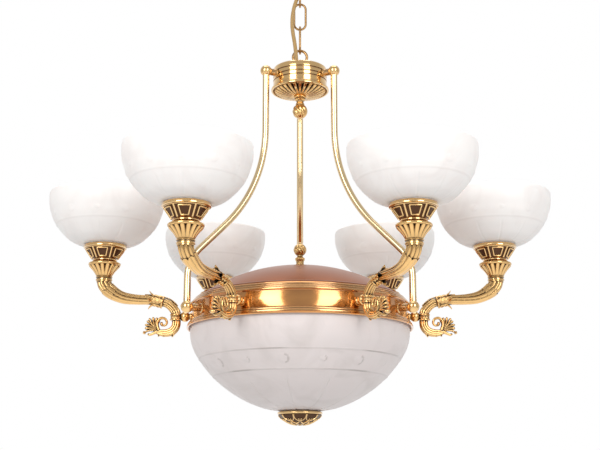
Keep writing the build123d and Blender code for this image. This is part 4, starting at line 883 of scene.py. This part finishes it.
def bowl_cuts(turns, reach, level):
    """Two fine worn lines, a row of lenses between them, and raised ribs below."""
    deep, mark = 0 * turns, 0 * turns
    for line in BOWL_LINES:
        groove = ridge(level - line, 1.1)
        worn = 0.3 + 0.7 * np.clip(np.sin(5 * turns + line) + 0.4 * np.sin(13 * turns), 0, 1)
        deep, mark = deep + 0.5 * groove, mark + groove * worn
    number, aside = nearest_of(BOWL_LENSES, turns, reach, FIRST_LENS)
    size = np.where(number % 2 == 0, 9.0, 5.5)
    lens = ridge(np.hypot(aside, (level - BOWL_LENS_LEVEL) * 1.18), size)
    # Painted shade: the edge of each lens on one side only is darkened as a crescent.
    lens_shade = lens * (lens < 0.75) * (aside > 0)
    _, off = nearest_of(BOWL_RIBS, turns, reach, FIRST_LENS)
    rib = ridge(off, 1.5) * np.clip((BOWL_LINES[1] - 6 - level) / 10, 0, 1)
    return deep + 0.8 * lens - 0.9 * rib, mark + lens_shade


shape, marks = cut_glass(bowl_line, bowl_inner, 480, bowl_cuts)
bowl = piece("cut_bowl", shape, bowl_glass, "fixture", ["bowl_glass"], sharp=50)
marked(bowl, marks)
print("bowl faces", len(bowl.data.polygons))

# %% [markdown]
# ## Cap under the bowl
# A cast cap holds the bowl up: a polished rim, and below it a dark shallow dome chased with
# overlapping pointed scales that have bright wire edges. The scales repeat in three rounds of ten,
# so one scale is drawn and the tree copies it; the rounds stand half a step on from each other,
# as tiles do.

# %% Cap and its scales
cap_rim = raised([(6, 0), (37.2, 0), (38.5, -1), (38.5, -3.2), (37.4, -4.2), (35.4, -4.6), (6, -4.6)], cap_z)
cap_line = smooth(raised([(35.6, -4.4), (31.5, -9.4), (25.4, -14.2), (17.4, -18.4), (9.2, -20.6), (3, -21.2)],
                         cap_z), 6)
piece("cap_rim", lathe(cap_rim, 96), bright_brass, "cap", ["bowl_cap"], sharp=30)
piece("cap_dome", lathe([(6, cap_z - 4), *cap_line], 96), dark_brass, "cap")
cap_runs = np.r_[0, np.cumsum(np.linalg.norm(np.diff(cap_line, axis=0), axis=1))]


def on_cap(run):
    """The radius and the level at a run down the cap's outline."""
    return np.interp(run, cap_runs, cap_line[:, 0]), np.interp(run, cap_runs, cap_line[:, 1])


def scale_on(start, length, width, swell=0.5, edge=0.3):
    """One pointed scale lying on the cap, its border raised, on the +X side."""
    sides = np.linspace(-1, 1, 9)
    rows = []
    for share in np.linspace(0, 1, 9):
        run = start + length * share
        spot = np.array(on_cap(run))
        ahead = np.array(on_cap(run + 0.5)) - spot
        out = np.array((ahead[1], 0, -ahead[0])) / np.hypot(*ahead)
        half_width = width / 2 * (1 - share**2.2) ** 0.6 * (1 - 0.12 * (1 - share)) + 0.05
        border = np.maximum(np.abs(sides) ** 4, share**6)
        flat = np.array([(spot[0], half_width * side, spot[1]) for side in sides])
        top = flat + out * (swell * (0.5 + share) + edge * border)[:, None]
        rows.append([*top, *(flat[::-1] - out * 0.5)])
    return solid(rows)


def scale_edge(start, length, width, wire=0.75):
    """The raised edge of one scale: a bright wire up one side to the point and down the other."""
    shares = np.r_[np.linspace(0, 0.97, 9), 1, np.linspace(0.97, 0, 9)]
    sides = np.r_[np.ones(9), 0, -np.ones(9)] * width / 2 * (1 - shares**2.2) ** 0.6
    reach, level = on_cap(start + length * shares)
    return sweep(np.stack([reach, sides, level - 0.9], 1), wire, 8, side=(0, 0, 1))


SCALE_COUNT = 10
SCALE_ROUNDS = ((0.5, 14.5, 21.0), (9.0, 14.5, 14.5), (18.5, 13.0, 8.5))  # start, length, width
for number, sizes in enumerate(SCALE_ROUNDS, start=1):
    for name, (points, faces), finish in (("cap_scales", scale_on(*sizes), cap_scale),
                                          ("scale_edges", scale_edge(*sizes), holder_light)):
        shape = turned(points, 180 / SCALE_COUNT * (number % 2)), faces
        mesh = grown(around, shape, Count=SCALE_COUNT, Material=finish)
        dressed(f"{name}_{number}", mesh, finish, "cap")
print("cap from", round(cap_z, 1))

# %% [markdown]
# ## Shade holders
# Each arm carries a six-sided cast holder: a small foot, a dark cone with a raised frame on each
# of its six panels and a light rib between them, and a polished ring that takes the cup.
# The cone is turned; one frame and one rib are drawn and copied round the holder's own axis,
# then the same mesh is turned into place for all six arms.

# %% One holder, six times
HOLDER_RIBS = 6
CONE_FOOT, CONE_HEAD = (21.4, 4.4), (34.0, 23.0)
cone_slope = np.array(CONE_HEAD) - np.array(CONE_FOOT)
cone_run = float(np.linalg.norm(cone_slope))
cone_way = cone_slope / cone_run
cone_out = np.array((cone_way[1], -cone_way[0]))


def on_cone(run, out, aside):
    """A point of the holder's cone: run up the slope, out from it, aside round the turn."""
    reach, level = np.array(CONE_FOOT) + cone_way * run + cone_out * out
    return reach * cos(aside / reach), reach * sin(aside / reach), level


def bar_on_cone(ends, wide, proud):
    """A rounded bar on the cone between two (run, aside) ends."""
    path = [on_cone(run, proud * 0.4, aside) for run, aside in np.linspace(*ends, 6)]
    return sweep(path, wide / 2, 10, side=(0.3, 0.2, 0.9))


holder_core = [(5.2, 0.1), (19.4, 0.1), (20, 0.8), (20, 3.2), (19.4, 4.2), (CONE_FOOT[0], 4.6), (33.8, 22.8),
               (33.0, 23.4), (20, 5.4), (5.2, 5.4)]
holder_foot = [(17, 0.05), (19.6, 0.05), (20.4, 0.9), (20.4, 3.0), (19.6, 4.0), (21.6, 4.8), (20.6, 5.6),
               (17, 5.6)]
cup_seat = [(33.0, 22.6), (36.4, 22.4), (37.5, 23.2), (37.5, 27.2), (36.9, 28.0), (36.1, 28.0), (36.1, 24.4),
            (33.0, 24.2)]
seat_bead = [(33.2, 21.2), (34.6, 20.9), (35.2, 21.8), (34.6, 22.8), (33.2, 22.8)]
holder_rings = joined([lathe(holder_foot, 72), lathe(cup_seat, 96, closed=True),
                       lathe(seat_bead, 96, closed=True)])
FRAME_RUNS = (2.6, 18.2)  # up the cone, of a frame's lower and upper bars
FRAME_SIDES = (5.4, 9.4)  # half of a frame's width at its foot and head
(low, high), (narrow, wide) = FRAME_RUNS, FRAME_SIDES
corners = [(low, -narrow), (low, narrow), (high, wide), (high, -wide)]
panel = joined([bar_on_cone(ends, 2.6, 1.4) for ends in zip(corners, corners[1:] + corners[:1])])
panel = turned(panel[0], 180 / HOLDER_RIBS), panel[1]
rib = bar_on_cone(((0.4, 0), (cone_run - 0.6, 0)), 3.4, 1.0)
panels = grown(around, joined([panel, rib]), Count=HOLDER_RIBS, Material=holder_light)


def as_shape(mesh):
    """A mesh's points in millimetres and its faces."""
    points = np.array([v.co for v in mesh.vertices], float) / MM
    return points, [list(p.vertices) for p in mesh.polygons]


gallery_z = arm_top + SEAT
holder_parts = (("holder_cone", lathe(holder_core, 72), dark_brass, "dark_cast"),
                ("holder_rings", holder_rings, bright_brass, "brass"),
                ("holder_panels", as_shape(panels), holder_light, "cast_brass"))
for number, azimuth in enumerate(arm_turns, start=1):
    for name, (points, faces), finish, slot_name in holder_parts:
        stands_for = [f"shade_holder_{number}"] if name == "holder_cone" else []
        shape = turned(points, azimuth, (CUP_REACH, 0, gallery_z)), faces
        piece(f"{name}_{number}", shape, finish, "fixture", stands_for)
print("holders at", round(gallery_z, 1))

# %% Cups of cut glass
cup_line = [(31.0, 0.0), (34.4, 0.0), (35.0, 0.6), *smooth([
    (35.0, 5.0), (48.0, 6.6), (63.0, 13.8), (75.5, 25.2), (83.5, 34.8), (90.8, 46.4), (95.0, 57.2),
    (98.5, 68.6), (100.0, 80.0), (100.0, 92.6),
], 9), (99.4, 94.4), (98.2, 95.0)]
cup_inner = [*smooth([
    (96.0, 95.0), (96.0, 80.0), (94.6, 69.6), (91.2, 58.8), (80.6, 37.8), (61.2, 17.6), (46.4, 10.8),
    (31.0, 9.0),
], 4), (31.0, 4.0), (20.5, 4.0), (20.5, 0.0)]
CUP_LINE_LEVEL = 38.0
CUP_LENS_LEVEL = 52.0
CUP_FOOT_RADIUS = 36.0
CUP_RIBS = 12  # each with a lens above it


def cup_cuts(turns, reach, level):
    """One fine line, a row of faint lenses above it and raised ribs below it."""
    groove = ridge(level - CUP_LINE_LEVEL, 1.3) + 0 * turns
    number, off = nearest_of(CUP_RIBS, turns, reach)
    size = np.where(number % 2 == 0, 6.5, 3.8)
    lens = ridge(np.hypot(off, (level - CUP_LENS_LEVEL) * 1.1), size)
    rib = ridge(off, 1.4) * np.clip((CUP_LINE_LEVEL - 4 - level) / 6, 0, 1) * (reach > CUP_FOOT_RADIUS)
    # Painted shade: the edge of each lens on one side only is darkened as a crescent.
    lens_shade = lens * (lens < 0.7) * (off > 0)
    return 0.35 * groove + 0.6 * lens - 0.5 * rib, 0.35 * groove + 0.5 * lens_shade


cup, cup_marks = cut_glass(cup_line, cup_inner, 288, cup_cuts)
cups = repeated("cut_cup", cup, arm_turns, cup_glass, "glass_cup", (CUP_REACH, 0, cup_z), sharp=50)
for made in cups:
    marked(made, cup_marks)
print("cup faces", len(cups[0].data.polygons))

# %% [markdown]
# ## The cast arm
# This is the part that takes the most skill: one lost-wax casting that starts at a ball and a
# ribbed collar, rises as a reeded stem, passes through a leaf, turns into a fluted horn and ends
# in a leafy flare under the holder. Below the collar hang a leafy tail, a fan of rays and a small
# scroll. It is built as skins laid round one centre line in the arm's own plane. The horn's skin
# ends forward and back round the turn, which makes the scalloped edge of its mouth.

# %% A skin round the arm's centre line
COLLAR_REACH = 214.3
arm_line = smooth([
    (COLLAR_REACH, 27.0), (215.6, 32.0), (221.0, 39.2), (229.0, 45.4), (238.6, 48.4), (252.0, 51.4),
    (266.0, 52.4), (280.0, 52.8), (294.0, 53.9), (306.0, 56.0), (317.0, 60.2), (327.0, 66.2),
    (334.6, 72.6), (339.4, 79.4), (CUP_REACH, 86.0),
], 12)
arm_runs = np.r_[0, np.cumsum(np.linalg.norm(np.diff(arm_line, axis=0), axis=1))]
ARM_RUN = float(arm_runs[-1])
arm_ahead = np.gradient(arm_line, axis=0)
arm_lean = np.unwrap(np.arctan2(arm_ahead[:, 1], arm_ahead[:, 0]))


def on_arm(run, radius, turns):
    """Points at a run along the centre line, a radius out and turned round it; 0 is the upper side."""
    x, z = np.interp(run, arm_runs, arm_line[:, 0]), np.interp(run, arm_runs, arm_line[:, 1])
    lean = np.interp(run, arm_runs, arm_lean)
    up = radius * np.cos(turns)
    return np.stack([x - up * np.sin(lean), radius * np.sin(turns), z + up * np.cos(lean)], -1)


def run_at(x):
    """How far along the centre line a place lies, from its distance to the fitting's axis."""
    return float(np.interp(x, arm_line[:, 0], arm_runs))


def skin(start, stop, radius, rows, steps):
    """A closed skin between two runs. stop may be a rule of the turn; radius is a rule of share and turn."""
    turns = np.linspace(0, 2 * pi, steps, endpoint=False)
    last = stop(turns) if callable(stop) else stop + 0 * turns
    return solid([on_arm(start + (last - start) * share, radius(share, turns), turns)
                  for share in np.linspace(0, 1, rows)])


def fluted(turns, count, depth, twist=0.0):
    """Shares of the radius for rounded flutes."""
    return 1 - depth * (1 - np.abs(np.cos(count / 2 * (turns + twist))))


STEM_END = run_at(238.6)
LEAF_END = run_at(262.0)
HORN_END = run_at(334.0)


def stem_skin(share, turns):
    """The reeded stem: a round bundle that narrows a little."""
    return (8.6 - 1.6 * share) * fluted(turns, 10, 0.16)


def leaf(middle_turn, rows=30, steps=17):
    """One leaf laid along the arm: lobed sides, a midrib, slanting veins and a tip that turns out."""
    across = np.linspace(-1, 1, steps)
    lines = []
    for share in np.linspace(0, 1, rows):
        half = 0.72 * sin(pi * (0.16 + 0.82 * share)) ** 0.7 * (0.74 + 0.26 * abs(cos(3.5 * pi * share)))
        curl = 7.0 * max(0.0, (share - 0.62) / 0.38) ** 2
        rib = 1.0 * np.exp(-(across / 0.16) ** 2) + 0.45 * np.cos(7 * pi * (share - 0.35 * np.abs(across)))
        top = 8.6 + 1.2 * (1 - across**2) + rib * (1 - 0.6 * share) + curl
        under = np.minimum(top - 0.5, 7.6 + curl)
        run = STEM_END - 1.5 + (LEAF_END + 1.5 - STEM_END) * share
        turns = middle_turn + np.r_[across, across[::-1]] * half
        lines.append(on_arm(run, np.r_[top, under[::-1]], turns))
    return solid(lines)


def horn_skin(share, turns):
    """The horn: long flutes that turn slowly as they run, in a form that swells toward its mouth."""
    body = np.interp(share, [0, 0.25, 0.5, 0.75, 0.92, 1], [7.2, 8.4, 9.2, 10.8, 12.8, 13.3])
    depth = 0.06 + 0.16 * np.clip(0.9 + np.cos(turns), 0, 1)
    return body * fluted(turns, 10, depth, 0.5 * share)


def horn_edge(turns):
    """Round scallops at the horn's mouth."""
    return HORN_END - 3 + 3.6 * np.abs(np.cos(4 * turns)) ** 0.6


def neck_skin(share, turns):
    """The narrower fluted neck that rises out of the horn's mouth."""
    return (11.8 + 0.8 * share) * fluted(turns, 10, 0.14)


arm_parts = [
    skin(0.0, STEM_END, stem_skin, 40, 120),
    *[leaf(k * pi / 2) for k in range(4)],
    skin(STEM_END, horn_edge, horn_skin, 90, 128),
    skin(HORN_END - 16, ARM_RUN, neck_skin, 20, 120),
]
ring_on_stem = [(-2.4, 7.2), (-2.2, 8.8), (-1.2, 9.6), (0.2, 9.6), (1.2, 8.8), (1.4, 7.2)]  # run, radius
turns = np.linspace(0, 2 * pi, 64, endpoint=False)
arm_parts.append(solid([on_arm(STEM_END + run + 0 * turns, radius, turns) for run, radius in ring_on_stem]))
print("arm run", round(ARM_RUN, 1), "stem", round(STEM_END, 1), "leaf", round(LEAF_END, 1))

# %% Collar, stub, bands, flare and disc
COLLAR_RIBS = 20
COLLAR_WAIST = (18.6, 24.6)  # the levels between which the collar is ribbed
STUB_BALL, STUB_BALL_REACH = 9.0, 198.6


def ring_of(outline, reach, steps=96, ripple=None):
    """A turned part of the arm, about an upright axis at some reach."""
    points, faces = lathe(outline, steps, ripple)
    return points + np.array((reach, 0, 0)), faces


def collar_ribs(turns, reach, level):
    """Upright ribs round the collar's waist."""
    inside = COLLAR_WAIST[0] < level < COLLAR_WAIST[1]
    return reach * (1 - 0.07 * inside * (1 - np.abs(np.cos(COLLAR_RIBS / 2 * turns)))), level


def flare_leaves(turns, reach, level):
    """Pointed leaves round the flare: a sharp midrib on each, deeper toward the head."""
    share = np.clip((level - 94) / 18, 0, 1)
    wave = np.clip(1.4 * np.abs(np.cos(8 * turns)) - 0.1, 0, 1)
    return reach * (1 - (0.02 + 0.14 * share) * (1 - wave)), level


collar = [(3, 16.0), (9.2, 16.0), (10.4, 16.8), (10.4, 18.0), (9.4, 18.9), (9.3, 19.2), (9.3, 24.2),
          (9.4, 24.6), (10.5, 25.4), (10.5, 26.6), (9.4, 27.6), (8.0, 28.2), (3, 28.2)]
stub = [(176.6, 3.0), (186.9, 3.0), (187.1, 6.5), (188.6, 6.9), (189.6, 6.4), (190.2, 5.6)]
stub += [(STUB_BALL_REACH - STUB_BALL * cos(a), STUB_BALL * sin(a)) for a in np.linspace(0.62, pi - 0.62, 22)]
stub += [(206.6, 5.4), (210.0, 5.0)]
bands = [(4, 83.4), (13.0, 83.4), (13.2, 85.6), (14.4, 86.2), (14.4, 88.0), (13.3, 88.6), (13.1, 90.6),
         (14.3, 91.2), (14.5, 92.6), (13.4, 93.6), (13.6, 94.6), (4, 94.6)]
flare = [*smooth([(13.6, 93.8), (15.4, 97.0), (18.2, 101.4), (22.0, 106.0), (26.0, 110.4), (27.0, 112.4)], 6),
         (8, 112.6)]
disc = [(4, 112.0), (24.6, 112.0), (26.6, 112.4), (28.0, 113.6), (28.0, 116.0), (27.0, 117.0), (24.0, 117.6),
        (22.6, 119.2), (22.0, ARM_TOP_LEVEL), (4, ARM_TOP_LEVEL)]
arm_parts += [
    ring_of(collar, COLLAR_REACH, ripple=collar_ribs),
    sweep([(x, 0, STUB_LEVEL) for x, _ in stub], [r for _, r in stub], 48),
    ring_of(bands, CUP_REACH, 72),
    ring_of(flare, CUP_REACH, 168, flare_leaves),
    ring_of(disc, CUP_REACH),
]
print("arm parts", len(arm_parts))

# %% Tail, fan and scroll
def flat_path(points, each=8):
    """A smooth path in the arm's plane."""
    return [(x, 0, z) for x, z in smooth(points, each)]


def ray(foot, middle, end):
    """A ray of the fan: thin at its foot, fat and round at its end."""
    path = flat_path((foot, middle, end), 6)
    reach = np.interp(np.linspace(0, 1, len(path)), [0, 0.8, 0.92, 1], [1.2, 2.6, 2.3, 0.7])
    points, faces = sweep(path, reach, 14)
    return points * np.array((1, 1.5, 1)), faces


def finger(points, foot, waist, tip, thick, each=7):
    """A curling finger that thins from its foot and ends in a small ball."""
    path = flat_path(points, each)
    ball = max(4, len(path) // 4)
    body = np.linspace(foot, waist, len(path) - ball)
    knob = tip * np.sin(np.linspace(0.55, pi - 0.1, ball))
    points, faces = sweep(path, np.r_[body, knob], 16)
    return points * np.array((1, thick, 1)), faces


def tail_skin(share, turns):
    """The leafy tail: reeded, then thinning to the root of the fan."""
    return np.interp(share, [0, 0.45, 0.8, 1], [7.6, 7.6, 6.2, 4.6]) * fluted(turns, 8, 0.16)


tail_line = [(213.6, 18.0), (213.4, 10.0), (215.6, 3.0), (221.0, -2.4), (229.0, -5.0), (238.0, -5.0),
             (246.0, -3.0)]
arm_parts.append(sweep(flat_path(tail_line, 7), tail_skin, 96))
LEAF_TIPS = [((216.0, -1.0), (217.4, -7.0), (220.4, -12.6)), ((226.0, -5.0), (231.0, -8.0), (236.0, -11.8)),
             ((236.0, -5.0), (240.4, -8.0), (244.6, -11.4))]
arm_parts += [finger(line, 4.2, 1.6, 1.7, 1.5) for line in LEAF_TIPS]
FAN_ROOT = np.array((247.4, -0.5))
FAN_TIPS = ((270.6, -6.0), (267.4, 2.6), (267.6, 9.0), (264.6, 15.6), (260.2, 20.8), (253.6, 22.6),
            (247.0, 21.8), (242.4, 18.2))
FAN_OUTER_RAYS = 4  # these bow one way and the rest the other
WEB_REACH = 16.5  # of the thin web behind the rays, from the root
WEB_SECTION = ((0.12, -0.8), (1.0, -0.8), (1.0, 0.8), (0.12, 0.8))  # share of the reach, side
for number, tip in enumerate(FAN_TIPS):
    way = np.array(tip) - FAN_ROOT
    bow = np.array((-way[1], way[0])) * (0.10 if number < FAN_OUTER_RAYS else -0.06)
    line = (FAN_ROOT, FAN_ROOT + way * 0.55 + bow, tip)
    arm_parts.append(ray(*line) if number else finger(line, 2.0, 1.6, 3.4, 1.4))
web = []
for a in np.linspace(-0.1, 1.75, 12):
    x, z = WEB_REACH * cos(a), WEB_REACH * sin(a)
    web.append([(FAN_ROOT[0] + share * x, y, FAN_ROOT[1] + share * z) for share, y in WEB_SECTION])
arm_parts.append(solid(web))
scroll_line = [(243.0, -1.0), (246.0, 8.0), (245.0, 15.6), (240.0, 20.4), (233.4, 19.6), (229.8, 14.2),
               (231.2, 9.0), (236.2, 7.6), (239.0, 11.2), (236.8, 13.6)]
spur_line = [(246.0, -3.0), (252.0, -5.8), (259.0, -8.6), (262.0, -6.0)]
arm_parts += [finger(scroll_line, 3.0, 1.9, 2.8, 1.8, each=8), finger(spur_line, 3.0, 1.8, 2.3, 1.8)]
print("arm parts", len(arm_parts))

# %% Beads on the leaf, and all six arms
ARM_BEADS = 26
row = on_arm(np.linspace(run_at(219.0), run_at(268.0), 60), 8.4, np.zeros(60))
row[:, 2] += 0.5
beads = grown(bead_row, (row, []), Count=ARM_BEADS, Radius=1.5 * MM, Material=cast_brass)
arm = joined([*arm_parts, as_shape(beads)])
arms = repeated("cast_arm", arm, arm_turns, cast_brass, "arm", (0, 0, ring_z), sharp=50)
print("arm faces", len(arms[0].data.polygons))

# %% [markdown]
# ## Finishes for the CAD pieces that stay
# The strap, nuts, tubes, lampholders, bulbs and bushes keep their CAD meshes. Each gets the same
# finish as its neighbours, by what it is made of, so nothing is left with a flat colour.

# %% Finishes by piece
finish_of = {
    steel: ["ceiling_bracket", "bracket_nuts", "frame_nuts", "tube_nuts", "ring_spider", "centre_tube",
            "lamp_plate", "shade_clamp_rings"],
    bush_plastic: ["terminal_block", "canopy_bush", "hub_bush"],
    bright_brass: ["canopy"],
    aged_brass: ["canopy_loop", "hub_loop"],
    porcelain: ["cup_lampholders", "bowl_lampholders"],
    lamp_glass: ["bowl_bulbs", *[f"bulb_{k}" for k in range(1, 7)]],
    felt: ["bowl_seal"],
}
for finish, names in finish_of.items():
    for name in names:
        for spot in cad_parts[name].material_slots:
            spot.material = finish
print("finished", sum(len(names) for names in finish_of.values()), "CAD pieces")

# %% Sizes of the CAD frame and of what is drawn
seen_low, seen_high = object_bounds()
sizes = {"cad": [list(cad_low), list(cad_high)], "visual": [list(seen_low), list(seen_high)]}
print("visual box", [round(x, 3) for x in (*seen_low, *seen_high)])

# %% Look of the picture
bpy.context.scene.view_settings.view_transform = "Standard"
